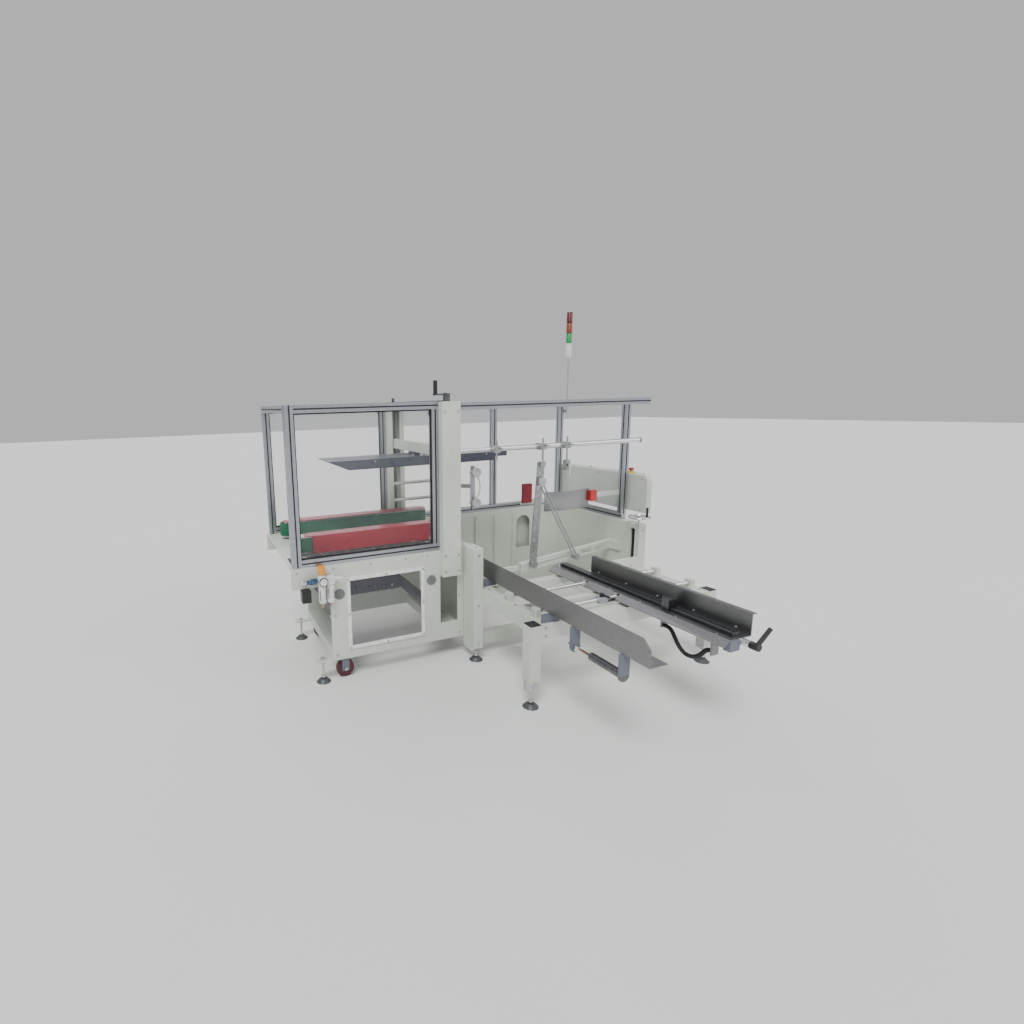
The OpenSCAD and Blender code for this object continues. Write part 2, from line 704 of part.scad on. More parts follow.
module levelling_legs() {
    for (f = feet) translate([f[0], f[1], 0]) {
        color([0.25, 0.26, 0.27]) cylinder(d1 = foot_d, d2 = 40, h = 18);
        color("darkgray") cylinder(d = 26, h = 26);
        color("silver") cylinder(d = foot_stem_d, h = f[2]);
    }
    // inner telescopic tubes of the two magazine legs
    for (x = leg_x) {
        inset = 4 + slide_gap;
        inner_x = [x + inset, x + leg_w - inset];
        inner_y = [mag_front - 2 + inset, mag_front - 2 + leg_w - inset];
        color("silver") difference() {
            block(inner_x, inner_y, [82, 300]);
            block(inner_x + [4, -4], inner_y + [4, -4], [88, 301]);
        }
    }
    // lock nuts on the left lips
    for (y = foot_lip_y)
        color("silver") translate([foot_left_x, y, base_clear + 12])
            cylinder(d = 24, h = 10, $fn = 6);
}

module guide_shafts() color(chrome) {
    for (y = shaft_y)
        rod_x(shaft_d, [mag_left_x[0] + 12, mag_right_x[1] - 8], y, shaft_z);
    for (x = hanger_x)
        rod_y(shaft_d, x, [near_face + sheet, rear_reach - sheet], belt_shaft_z);
}

guide_x = mag_left_x[1] - 3;
guide_z = [mag_z[1] + 45, mag_z[1] + 152];
guide_y = [20 - front_reach, near_face - 40];
module blank_guide() {
    color(aluminium) {
        difference() {
            block([guide_x, guide_x + 4], guide_y, guide_z);
            translate([guide_x + 2, guide_y[0], guide_z[1]]) rotate([45, 0, 0])
                cube([6, 50, 50], center = true);
        }
        block([guide_x + 4, guide_x + 88], guide_y, [guide_z[0], guide_z[0] + 4]);
    }
    for (y = [mag_front + 8, near_face - 88])
        color(blue_grey) block([guide_x - 40, guide_x + 60], [y, y + 6], [mag_z[1], guide_z[0]]);
}

// ---- Air cylinder under the blank guide ----

cyl_x = guide_x + 15;
cyl_z = 370;
cyl_hang_y = [mag_front - 437, mag_front - 157];
cyl_body_y = [cyl_hang_y[0] + 10, cyl_hang_y[0] + 180];
rod_d = 12;
cyl_d = 36;
cyl_bore = 28;
piston_y = cyl_body_y[1] - 30;

module cylinder_body() {
    for (y = cyl_hang_y)
        color(blue_grey) difference() {
            union() {
                block([cyl_x - 26, cyl_x + 26], [y, y + 8], [cyl_z, guide_z[0]]);
                rod_y(52, cyl_x, [y, y + 8], cyl_z);
            }
            if (y == cyl_hang_y[1]) rod_y(rod_d + 2 * run_fit, cyl_x, [y - 1, y + 9], cyl_z);
        }
    color(chrome) difference() {
        rod_y(cyl_d, cyl_x, [cyl_hang_y[0] + 8, cyl_body_y[1]], cyl_z);
        rod_y(cyl_bore, cyl_x, [cyl_body_y[0] + 6, cyl_body_y[1] - 8], cyl_z);
        rod_y(rod_d + 2 * run_fit, cyl_x, [cyl_body_y[1] - 9, cyl_body_y[1] + 1], cyl_z);
    }
}

module cylinder_rod() {
    color([0.55, 0.42, 0.32])
        rod_y(rod_d, cyl_x, [piston_y, cyl_hang_y[1] + 40], cyl_z);
    color(chrome) rod_y(cyl_bore - 2 * run_fit, cyl_x, [piston_y, piston_y + 12], cyl_z);
    // clevis nut ahead of the far bearing
    color(chrome) block([cyl_x - 13, cyl_x + 13], [cyl_hang_y[1] - 34, cyl_hang_y[1] - slide_gap],
        [cyl_z - 13, cyl_z + 13]);
}

// ---- Overhead tube, clamps, links and flap bar ----

over_z = ski_z + 103;
over_y = near_face + 5;
over_d = 28;
over_x = [mast_side_x[1], pit_right - 10];
clamp_x = [over_x[0] + 235, over_x[0] + 542, over_x[0] + 712];
switch_x = clamp_x[2];

module overhead_tube() {
    color(chrome) rod_x(over_d, over_x, over_y, over_z);
    color(black) rod_x(over_d + 4, [over_x[1], over_x[1] + 6], over_y, over_z);
    for (x = clamp_x) {
        color("silver")
            block([x - 18, x + 18], [over_y - 38, over_y + 18], [over_z - 18, over_z + 18]);
        color("silver") rod_z(10, x, over_y - 28, [over_z - (x == clamp_x[0] ? 60 : 86), over_z + 50]);
        color(black) rod_y(8, x + 12, [over_y - 70, over_y - 38], over_z + 6);
    }
}

module limit_switch() {
    color("silver") block([switch_x - 15, switch_x + 15], [over_y - 43, over_y - 13],
        [over_z - 146, over_z - 86]);
    color(black) rod_y(14, switch_x, [over_y - 53, over_y - 43], over_z - 116);
    color(chrome) rod_y(5, switch_x, [over_y - 60, over_y - 52], over_z - 116);
}

module switch_lever() color(chrome) {
    y = over_y - 53 - slide_gap;
    difference() {
        union() {
            rod_y(18, switch_x, [y - 5, y], over_z - 116);
            block([switch_x - 4, switch_x + 4], [y - 4, y], [over_z - 176, over_z - 116]);
        }
        rod_y(5 + 2 * run_fit, switch_x, [y - 6, y + 1], over_z - 116);
    }
}

// The slotted bar's own frame: x along the bar, y = 0 at its middle, z = 0 at the floor
bar_from = [sealer_right + 328, near_face + 14];
bar_angle = 13.2;
bar_len = (pit_right - 6 - bar_from[0]) / cos(bar_angle);
bar_z = [deck_height - 209, deck_height - 152];
bar_half = 15;
bar_t = 4;

module on_bar() {
    translate([bar_from[0], bar_from[1], 0]) rotate([0, 0, bar_angle]) children();
}

// World position of a point given in the bar's frame
function bar_point(x, y, z) = [bar_from[0] + x * cos(bar_angle) - y * sin(bar_angle),
    bar_from[1] + x * sin(bar_angle) + y * cos(bar_angle), z];

module slotted_bar() color(painted) {
    on_bar() difference() {
        block([0, bar_len], [-bar_half, bar_half], bar_z);
        block([-1, bar_len + 1], [-bar_half + bar_t, bar_half + 1], bar_z + [bar_t, -bar_t]);
        block([110, 430], [-bar_half - 1, bar_half], [bar_z[0] + 22, bar_z[0] + 36]);
        for (x = [bar_len - 330, bar_len - 180])
            block([x, x + 110], [-bar_half - 1, 0], [bar_z[0] + 14, bar_z[1] - 14]);
    }
    // end flange on the right wall and the arm back to the sealer's frame
    flange_y = bar_point(bar_len, 0, 0)[1];
    block([pit_right - 12, pit_right], [flange_y - 100, flange_y + 20], bar_z);
    block([sealer_right + sheet, bar_from[0] + 20], [bar_from[1] - 4, bar_from[1] + 10],
        bar_z + [14, -14]);
}

link_w = 45;
link_t = 8;
foot_knob_d = 46;
link_top = [clamp_x[1] + 5, over_y - 8, over_z - 92];
link_foot = bar_point(80, -bar_half - 18, bar_z[1] + 8);
knob_at = [link_top[0] - 10, link_top[1] - 2, over_z - 203];
brace_foot = bar_point(478, -bar_half - 22, bar_z[0] + 20);

module link_bars() {
    len = norm(link_top - link_foot);
    color("silver") aim(link_foot, link_top) difference() {
        translate([-link_w / 2, -link_t / 2, -20]) cube([link_w, link_t, len + 20]);
        for (z = [40 : 82 : len - 30])
            translate([0, -link_t, z]) rotate([-90, 0, 0]) cylinder(d = 12, h = 2 * link_t);
    }
    // tie between the clamp's rod and the bar's head
    color("silver") block([clamp_x[1] - 12, clamp_x[1] + 18], [over_y - 33, over_y - 6],
        [link_top[2] - 24, link_top[2] + 4]);
    // twin-bar brace
    for (s = [-1, 1])
        color("silver") aim(brace_foot, knob_at + [0, -6, 0])
            translate([s * 12 - 4, -3, -14]) cube([8, 6, norm(knob_at - brace_foot) + 28]);
    // spacers that stand on the slotted bar
    color("silver") on_bar() {
        for (p = [[80, bar_z[1] - 12], [478, bar_z[0] + 20]])
            translate([p[0], -bar_half - slide_gap, p[1]]) rotate([90, 0, 0]) {
                cylinder(d = 24, h = 20);
                translate([0, 0, 19]) cylinder(d = foot_knob_d, h = 18);
            }
    }
    // post that carries the brace knob
    color("silver") difference() {
        rod_y(26, knob_at[0], [knob_at[1] - 16, knob_at[1] + 6], knob_at[2]);
        rod_y(10 + 2 * run_fit, knob_at[0], [knob_at[1] - 17, knob_at[1] - 4], knob_at[2]);
    }
}

module brace_knob() color("silver") {
    y = knob_at[1] - 16 - slide_gap;
    rod_y(10, knob_at[0], [y - 4, knob_at[1] - 5], knob_at[2]);
    rod_y(50, knob_at[0], [y - 16, y], knob_at[2]);
}

folder_x = [pit_right - 590, pit_right - 238];
folder_z = [deck_height + 105, deck_height + 230];
folder_rail_y = [right_near_y[0] + 26, right_near_y[1]];
folder_bulge = 30;
module flap_folder() {
    half = (folder_x[1] - folder_x[0]) / 2;
    r = (half * half + folder_bulge * folder_bulge) / (2 * folder_bulge);
    color(painted) block([folder_x[0] - 170, right_row[0]], folder_rail_y,
        [folder_z[0] + 60, folder_z[0] + 90]);
    color(aluminium) translate([folder_x[0] + half, folder_rail_y[0] - folder_bulge + r, folder_z[0]])
        linear_extrude(folder_z[1] - folder_z[0]) difference() {
            circle(r = r);
            circle(r = r - 3);
            translate([-2 * r, -r + folder_bulge]) square(4 * r);
        }
    color("red") block([folder_x[1] - 6, folder_x[1] + 43], [folder_rail_y[0] - 24, folder_rail_y[0]],
        [folder_z[0] + 41, folder_z[0] + 111]);
    color("darkred") block([folder_x[0] - 170, folder_x[0] - 109],
        [folder_rail_y[0] - 24, folder_rail_y[0]], [folder_z[0] + 74, folder_z[0] + 192]);
}

// ---- Suction arm ----

cup_x = post_at[0] + 101;
cup_bar_y = [post_at[1] - 95, post_at[1] - 75];
cup_z = [deck_height + 204, deck_height + 388];
cup_d = 55;
module suction_arm() {
    reach = [cup_x - post_at[0], cup_bar_y[1] - 10 - post_at[1]];
    color(aluminium) difference() {
        union() {
            rod_z(post_d + 14, post_at[0], post_at[1], [arm_z - 60 + slide_gap, arm_z + 60]);
            translate([post_at[0], post_at[1], arm_z - 10]) rotate([0, 0, atan2(reach[1], reach[0])])
                translate([10, -15, 0]) cube([norm(reach) - 10, 30, 20]);
            block([cup_x - 10, cup_x + 10], cup_bar_y, [cup_z[0] - 45, cup_z[1] + 35]);
        }
        rod_z(post_d + 2 * run_fit, post_at[0], post_at[1], [arm_z - 61, arm_z + 61]);
    }
    for (z = cup_z) color("gainsboro") {
        rod_y(22, cup_x, [cup_bar_y[0] - 26, cup_bar_y[0]], z);
        rod_y(cup_d, cup_x, [cup_bar_y[0] - 36, cup_bar_y[0] - 26], z);
    }
    color(black) rod_z(10, cup_x - 24, cup_bar_y[0] - 10, cup_z);
    for (z = [cup_z[0], cup_z[1]])
        color("red") rod_x(12, [cup_x - 30, cup_x], cup_bar_y[0] - 10, z);
}

// ---- Control box and signals ----

cabinet_x = [right_x - 100, right_x];
cabinet_y = [near_face - 5, rear_reach - 5];
cabinet_z = [deck_height + 60, deck_height + 302];
cabinet_r = 40;
cabinet_lip = 40;
cabinet_step = 115;
stop_at = [cabinet_x[0] + 50, cabinet_y[0] + 187];
start_at = [cabinet_x[0] + 50, cabinet_y[0] + 570];
stop_stem_d = 12;
start_d = 14;
module control_box() color(painted) {
    difference() {
        union() {
            block(cabinet_x, [cabinet_y[0] + cabinet_r, cabinet_y[1]], cabinet_z);
            block(cabinet_x, cabinet_y, [cabinet_z[0], cabinet_z[1] - cabinet_r]);
            rod_x(2 * cabinet_r, cabinet_x, cabinet_y[0] + cabinet_r, cabinet_z[1] - cabinet_r);
            rod_z(44, stop_at[0], stop_at[1], [cabinet_z[1] - 1, cabinet_z[1] + 13]);
            rod_z(22, start_at[0], start_at[1], [cabinet_z[1] - 1, cabinet_z[1] + 6]);
        }
        rod_z(stop_stem_d + 2 * run_fit, stop_at[0], stop_at[1],
            [cabinet_z[1] - 12, cabinet_z[1] + 14]);
        rod_z(start_d + 2 * run_fit, start_at[0], start_at[1],
            [cabinet_z[1] - 12, cabinet_z[1] + 7]);
        block(cabinet_x + [3, -3], cabinet_y + [cabinet_step + 3, -3], cabinet_z + [3, -15]);
        block([cabinet_x[0] + cabinet_lip, cabinet_x[1] + 1],
            [cabinet_y[0] - 1, cabinet_y[0] + cabinet_step], cabinet_z + [-1, 1]);
    }
    // stand-off bolts to the guard's posts
    for (y = [right_near_y[0] + 20, far_row[0] + 20], z = [cabinet_z[0] + 60, cabinet_z[1] - 60])
        rod_x(16, [right_row[1], cabinet_x[0]], y, z);
}

module stop_button() color("red") {
    rod_z(stop_stem_d, stop_at[0], stop_at[1], [cabinet_z[1] - 2, cabinet_z[1] + 20]);
    rod_z(34, stop_at[0], stop_at[1], [cabinet_z[1] + 19, cabinet_z[1] + 34]);
}

module start_button() color("red")
    rod_z(start_d, start_at[0], start_at[1], [cabinet_z[1] - 6, cabinet_z[1] + 10]);

tower_at = [right_row[1] + 10, rear_reach - 60];
tower_z = [right_top - 110, guard_top + 285];
lens_h = 75;
module signal_tower() {
    color("silver") {
        rod_z(10, tower_at[0], tower_at[1], tower_z);
        block([right_row[1], tower_at[0] + 10], [tower_at[1] - 10, tower_at[1] + 35],
            [tower_z[0] + 10, tower_z[0] + 35]);
    }
    color(painted) translate([tower_at[0], tower_at[1], tower_z[1]])
        cylinder(d = 46, h = 117);
    for (k = [0 : 2])
        color([["green", "orange", "darkred"][k], 1][0])
            rod_z(44, tower_at[0], tower_at[1],
                [tower_z[1] + 117 + k * lens_h, tower_z[1] + 117 + (k + 1) * lens_h]);
}

// ---- Air preparation ----

air_x = [body_left - 71, body_left + 39];
air_y = near_face - 30;
air_z = deck_height - 68;
bowl_x = [air_x[0] + 24, air_x[0] + 67];
neck_top = air_z + 32;
module air_unit() {
    color("white") block(air_x, [near_face - 55, near_face], [air_z - 20, air_z + 20]);
    for (x = bowl_x) {
        color("white") rod_z(40, x, air_y, [air_z - 122, air_z - 19]);
        color([0.72, 0.45, 0.30]) rod_z(10, x, air_y, [air_z - 142, air_z - 121]);
    }
    color("white") difference() {
        rod_z(34, bowl_x[0], air_y, [air_z + 19, neck_top]);
        rod_z(10 + 2 * run_fit, bowl_x[0], air_y, [neck_top - 10, neck_top + 1]);
    }
    color("white") rod_y(46, bowl_x[0] + 2, [near_face - 68, near_face - 54], air_z);
    color("white") rod_x(16, [air_x[1] - 1, air_x[1] + 20], air_y, air_z);
    color([0.25, 0.35, 0.60]) rod_x(26, [air_x[0] - 90, air_x[0] + 1], air_y, air_z);
    color(chrome) rod_x(32, [air_x[0] - 70, air_x[0] - 35], air_y, air_z);
}

module regulator_knob() color("orangered") {
    rod_z(10, bowl_x[0], air_y, [neck_top - 9, neck_top + 4]);
    rod_z(36, bowl_x[0], air_y, [neck_top + slide_gap, neck_top + 44]);
}

module junction_box() color(black)
    block([air_x[0] - 82, air_x[0] - 35], [near_face - 40, near_face + 10],
        [box_bottom - 64, box_bottom]);

// ---- Channel rail and what rides in it ----

handle_reach = 70;
channel_y = [handle_reach - front_reach, near_face - 45];
wall_y = [channel_y[0], near_face - 230];
channel_z = shaft_z + 15;
channel_t = 4;
channel_wall_h = 97;
clamp_block_x = [channel_x - 125, channel_x - 75];
lever_pin_d = 8;
lever_z = shaft_z + 17;
handle_at = [channel_x + 69, shaft_z + 3];
handle_pin_d = 14;
hose_d = 20;

module channel_rail() {
    right = channel_x + channel_w;
    color("silver") {
        block([channel_x, right], channel_y, [channel_z, channel_z + channel_t]);
        block([right, right + channel_t], wall_y, [channel_z, channel_z + channel_wall_h]);
        block([right, right + 25], wall_y,
            [channel_z + channel_wall_h - channel_t, channel_z + channel_wall_h]);
        // sloping lip, notched over the guide shafts
        difference() {
            translate([channel_x, channel_y[1], channel_z]) rotate([90, 0, 0])
                linear_extrude(channel_y[1] - channel_y[0])
                    polygon([[0, 0], [0, channel_t], [-33, channel_t - 24], [-33, -24]]);
            for (y = shaft_y)
                block([channel_x - 34, channel_x - 0.1], [y - shaft_d, y + shaft_d],
                    [channel_z - 30, channel_z + channel_t + 1]);
        }
        // bushings round the two guide shafts
        for (y = shaft_y) difference() {
            block([channel_x + 24, right - 24], [y - 15, y + 15], [shaft_z - 17, channel_z]);
            rod_x(shaft_d + 2 * run_fit, [channel_x, right], y, shaft_z);
        }
        // clamp block tied to the near bushing
        difference() {
            union() {
                block(clamp_block_x, [shaft_y[0] - 18, shaft_y[0] + 18], [shaft_z - 17, lever_z]);
                block([clamp_block_x[0], channel_x + 25], [shaft_y[0] - 12, shaft_y[0] + 12],
                    [shaft_z - 17, shaft_z - 11]);
            }
            rod_x(shaft_d + 2 * run_fit, clamp_block_x + [-1, 1], shaft_y[0], shaft_z);
            rod_z(lever_pin_d + 2 * run_fit, clamp_block_x[0] + 25, shaft_y[0],
                [lever_z - 6, lever_z + 1]);
        }
    }
    // end block, bearing and the hose brackets below the tray
    color(black) block([channel_x + 3, handle_at[0] - 10], [channel_y[0], channel_y[0] + 30],
        [channel_z - 50, channel_z]);
    color(chrome) rod_y(30, handle_at[0], [channel_y[0] - 35, channel_y[0] + 30], handle_at[1]);
    color(chrome) rod_y(handle_pin_d, handle_at[0], [channel_y[0] - 66, channel_y[0] - 34],
        handle_at[1]);
    color("silver") for (b = hose_brackets)
        block([channel_x + 3, channel_x + 43], [b[0] - 8, b[0]], [b[1], channel_z]);
}

module channel_guide() color([0.16, 0.17, 0.19])
    block([channel_x + 39, channel_x + 79], channel_y + [20, -20],
        [channel_z + channel_t, channel_z + channel_t + 16]);

module clamp_lever() color(black) {
    at = [clamp_block_x[0] + 25, shaft_y[0]];
    rod_z(lever_pin_d, at[0], at[1], [lever_z - 5, lever_z + 3]);
    rod_z(22, at[0], at[1], [lever_z + slide_gap, lever_z + 14]);
    block([at[0] - 5, at[0] + 5], [at[1] - 55, at[1]], [lever_z + 5, lever_z + 13]);
}

pusher_y = [mag_front - 192, mag_front - 152];
module pusher() {
    guide = [channel_x + 39, channel_x + 79];
    top = channel_z + channel_t + 16;
    color(chrome) difference() {
        block(guide + [-8, 8], pusher_y, [channel_z + channel_t + 2, top + 36]);
        block(guide + [-slide_gap, slide_gap], pusher_y + [-1, 1],
            [channel_z + channel_t, top + slide_gap]);
    }
    color(black) block(guide + [0, 0], [pusher_y[1], pusher_y[1] + 10], [top + 6, top + 40]);
}

module lock_handle() color(black) {
    y = [channel_y[0] - handle_reach, channel_y[0] - 35 - slide_gap];
    difference() {
        union() {
            rod_y(32, handle_at[0], y, handle_at[1]);
            aim([handle_at[0], y[0] + 12, handle_at[1]],
                [handle_at[0] + 75, y[0] + 12, handle_at[1] + 64]) cylinder(d = 18, h = 98);
        }
        rod_y(handle_pin_d + 2 * run_fit, handle_at[0], [y[0] + 3, y[1] + 1], handle_at[1]);
    }
}

// Corrugated hose hanging between two brackets: the route's points, in the channel's frame
hose_brackets = [[-626, 385], [-880, 360]];
hose_route = [[379, -634, 392], [379, -650, 392], [379, -664, 388], [379, -676, 378],
    [379, -690, 358], [379, -706, 336], [379, -724, 318], [379, -744, 306], [379, -764, 303],
    [379, -784, 306], [379, -804, 316], [379, -822, 332], [379, -836, 350], [379, -848, 364],
    [379, -860, 371], [379, -872, 372], [379, -880, 372]];
hose_sides = 10;

function hose_dir(i) = let(n = len(hose_route),
    v = hose_route[min(i + 1, n - 1)] - hose_route[max(i - 1, 0)]) v / norm(v);

// The route lies in one plane of constant X, so X is one axis of every ring
function hose_ring(i) = let(d = hose_dir(i), up = cross(d, [1, 0, 0]))
    [for (k = [0 : hose_sides - 1]) let(a = k * 360 / hose_sides)
        hose_route[i] + hose_d / 2 * (cos(a) * [1, 0, 0] + sin(a) * up)];

module channel_hose() color(black) {
    n = len(hose_route);
    points = [for (i = [0 : n - 1]) each hose_ring(i)];
    sides = [for (i = [0 : n - 2], k = [0 : hose_sides - 1]) let(q = (k + 1) % hose_sides)
        [i * hose_sides + k, i * hose_sides + q, (i + 1) * hose_sides + q,
            (i + 1) * hose_sides + k]];
    first = [for (k = [hose_sides - 1 : -1 : 0]) k];
    last = [for (k = [0 : hose_sides - 1]) (n - 1) * hose_sides + k];
    polyhedron(points, concat(sides, [first, last]));
}

// ---- Casters ----

caster_x = body_left + 69;
caster_y = [near_face + 30, base_rear - 44];
wheel_z = 50;
caster_d = 96;
axle_d = 12;
module caster_forks() color(blue_grey)
    for (y = caster_y) {
        block([caster_x - 30, caster_x + 30], [y - 24, y + 24], [base_clear - 5, base_clear]);
        for (s = [-1, 1])
            block([caster_x - 20, caster_x + 20], s > 0 ? [y + 18, y + 22] : [y - 22, y - 18],
                [wheel_z - 12, base_clear - 4]);
        rod_y(axle_d, caster_x, [y - 26, y + 26], wheel_z);
    }

module caster_wheels() color([0.42, 0.10, 0.12])
    for (y = caster_y) difference() {
        rod_y(caster_d, caster_x, [y - 15, y + 15], wheel_z);
        rod_y(axle_d + 2 * run_fit, caster_x, [y - 16, y + 16], wheel_z);
    }

base_frame();
deck_plate();
roller_strip();
window_border();
window_pane();
tape_head_frame();
tape_roll();
tape_front_arm();
tape_rear_arm();
near_column();
far_column();
top_cover_plate();
guard_frames();
guard_panels();
corner_post();
pit_walls();
right_column();
magazine_frame();
levelling_legs();
guide_shafts();
blank_guide();
cylinder_body();
cylinder_rod();
overhead_tube();
limit_switch();
switch_lever();
link_bars();
brace_knob();
slotted_bar();
flap_folder();
control_box();
stop_button();
start_button();
signal_tower();
air_unit();
regulator_knob();
junction_box();
cross_beam();
hold_down_ski();
top_crank();
far_spindle();
near_carriage();
near_cover();
near_belt();
near_drum_left();
near_drum_right();
far_carriage();
far_belt();
far_drum_left();
far_drum_right();
channel_rail();
channel_guide();
clamp_lever();
pusher();
lock_handle();
channel_hose();
suction_arm();
hand_wheel();
caster_forks();
caster_wheels();
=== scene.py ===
"""Finishes, trim and stage for an upright case erector with a bottom tape sealer."""
import math

import bmesh
import bpy
from bpy.props import FloatProperty, FloatVectorProperty, IntProperty, PointerProperty
from mathutils import Matrix, Vector


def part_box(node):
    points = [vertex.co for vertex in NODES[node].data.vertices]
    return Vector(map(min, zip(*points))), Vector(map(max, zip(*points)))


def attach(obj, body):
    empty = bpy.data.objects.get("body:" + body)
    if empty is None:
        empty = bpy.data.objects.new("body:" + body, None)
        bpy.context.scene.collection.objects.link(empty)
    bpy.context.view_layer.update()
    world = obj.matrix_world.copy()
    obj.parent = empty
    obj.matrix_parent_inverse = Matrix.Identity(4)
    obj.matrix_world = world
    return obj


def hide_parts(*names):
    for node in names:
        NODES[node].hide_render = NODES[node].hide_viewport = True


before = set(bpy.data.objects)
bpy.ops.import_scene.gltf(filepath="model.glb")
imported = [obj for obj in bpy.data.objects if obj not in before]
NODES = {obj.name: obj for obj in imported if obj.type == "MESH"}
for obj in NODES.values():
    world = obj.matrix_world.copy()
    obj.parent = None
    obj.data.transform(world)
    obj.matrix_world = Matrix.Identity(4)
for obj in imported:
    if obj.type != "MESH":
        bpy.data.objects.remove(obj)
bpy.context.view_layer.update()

bl_info = {
    "name": "Case Erector Dressing",
    "version": (1, 0, 0),
    "blender": (4, 5, 0),
    "location": "3D View > Sidebar > Erector",
    "description": "Adds finishes, trim and a studio stage to a case erector",
    "category": "Object",
}

SMOOTH_ANGLE = math.radians(35)


# ---------------------------------------------------------------- settings

class PaintSettings(bpy.types.PropertyGroup):
    """Colours of the painted and anodised pieces"""

    body: FloatVectorProperty(
        name="Body paint", description="Powder coat of the casings and frame",
        default=(0.655, 0.690, 0.615), subtype="COLOR", size=3, min=0, max=1)
    ski: FloatVectorProperty(
        name="Ski paint", description="Paint of the hold-down ski",
        default=(0.058, 0.064, 0.092), subtype="COLOR", size=3, min=0, max=1)
    cover: FloatVectorProperty(
        name="Belt cover", description="Paint of the belt covers",
        default=(0.40, 0.012, 0.035), subtype="COLOR", size=3, min=0, max=1)
    belt: FloatVectorProperty(
        name="Belt", description="Colour of the side belts",
        default=(0.012, 0.115, 0.060), subtype="COLOR", size=3, min=0, max=1)
    profile: FloatVectorProperty(
        name="Profile", description="Anodised guard profile",
        default=(0.43, 0.45, 0.49), subtype="COLOR", size=3, min=0, max=1)


class StageSettings(bpy.types.PropertyGroup):
    """Camera and light of the studio"""

    eye: FloatVectorProperty(
        name="Eye", description="Camera position",
        default=(-1.619, -2.345, 1.440), subtype="TRANSLATION", unit="LENGTH", size=3)
    azimuth: FloatProperty(
        name="Azimuth", description="Heading from +Y towards +X",
        default=math.radians(20.46), subtype="ANGLE")
    pitch: FloatProperty(
        name="Pitch", description="Angle of the view below the horizon",
        default=math.radians(10.11), subtype="ANGLE")
    roll: FloatProperty(
        name="Roll", description="Turn of the camera about its view",
        default=math.radians(-1.577), subtype="ANGLE")
    lens: FloatProperty(
        name="Lens", description="Focal length in millimetres on a 36 mm sensor",
        default=18.49, min=10, max=80)
    shift_x: FloatProperty(name="Shift X", description="Sideways lens shift", default=0.1214)
    shift_y: FloatProperty(name="Shift Y", description="Vertical lens shift", default=-0.0135)
    key_power: FloatProperty(name="Key light", description="Strength of the main light",
                             default=2.3, min=0.1, max=10.0)


class TrimSettings(bpy.types.PropertyGroup):
    """Sizes of the small trim"""

    screw: FloatProperty(
        name="Screw head", description="Radius of a casing screw's head",
        default=0.006, unit="LENGTH", min=0.003, max=0.01)
    edge: FloatProperty(
        name="Edge", description="Width of a softened sheet edge",
        default=0.0012, unit="LENGTH", min=0.0002, max=0.004)
    hose: FloatProperty(
        name="Hose", description="Outer diameter of the corrugated hose",
        default=0.020, unit="LENGTH", min=0.008, max=0.04)
    sides: IntProperty(
        name="Sides", description="Facets round a turned piece", default=40, min=12, max=96)


# ---------------------------------------------------------------- materials

def shader(name):
    """A new material with its output's shader and a node-adding shorthand."""
    material = bpy.data.materials.new(name)
    material.use_nodes = True
    tree = material.node_tree
    bsdf = tree.nodes["Principled BSDF"]

    def node(kind, **values):
        made = tree.nodes.new(kind)
        for key, value in values.items():
            if hasattr(made, key):
                setattr(made, key, value)
            else:
                made.inputs[key.replace("_", " ")].default_value = value
        return made

    return material, bsdf, node, tree.links.new


def mottle(node, link, low, high, scale, stretch=(1, 1, 1), detail=6.0, spread=(0.35, 0.65)):
    """A noise on object coordinates, mapped to a ramp between two colours."""
    place = node("ShaderNodeTexCoord")
    mapping = node("ShaderNodeMapping")
    mapping.inputs["Scale"].default_value = stretch
    noise = node("ShaderNodeTexNoise")
    noise.inputs["Scale"].default_value = scale
    noise.inputs["Detail"].default_value = detail
    ramp = node("ShaderNodeValToRGB")
    ramp.color_ramp.elements[0].position = spread[0]
    ramp.color_ramp.elements[1].position = spread[1]
    ramp.color_ramp.elements[0].color = (*low, 1)
    ramp.color_ramp.elements[1].color = (*high, 1)
    link(place.outputs["Object"], mapping.inputs["Vector"])
    link(mapping.outputs["Vector"], noise.inputs["Vector"])
    link(noise.outputs["Fac"], ramp.inputs["Fac"])
    return ramp, noise


def bump(node, link, bsdf, height, strength, distance):
    """Feeds a height into the shader's normal."""
    made = node("ShaderNodeBump")
    made.inputs["Strength"].default_value = strength
    made.inputs["Distance"].default_value = distance
    link(height, made.inputs["Height"])
    link(made.outputs["Normal"], bsdf.inputs["Normal"])


def tint(color, factor):
    return tuple(min(1.0, c * factor) for c in color)


def grey(value):
    return (value, value, value)


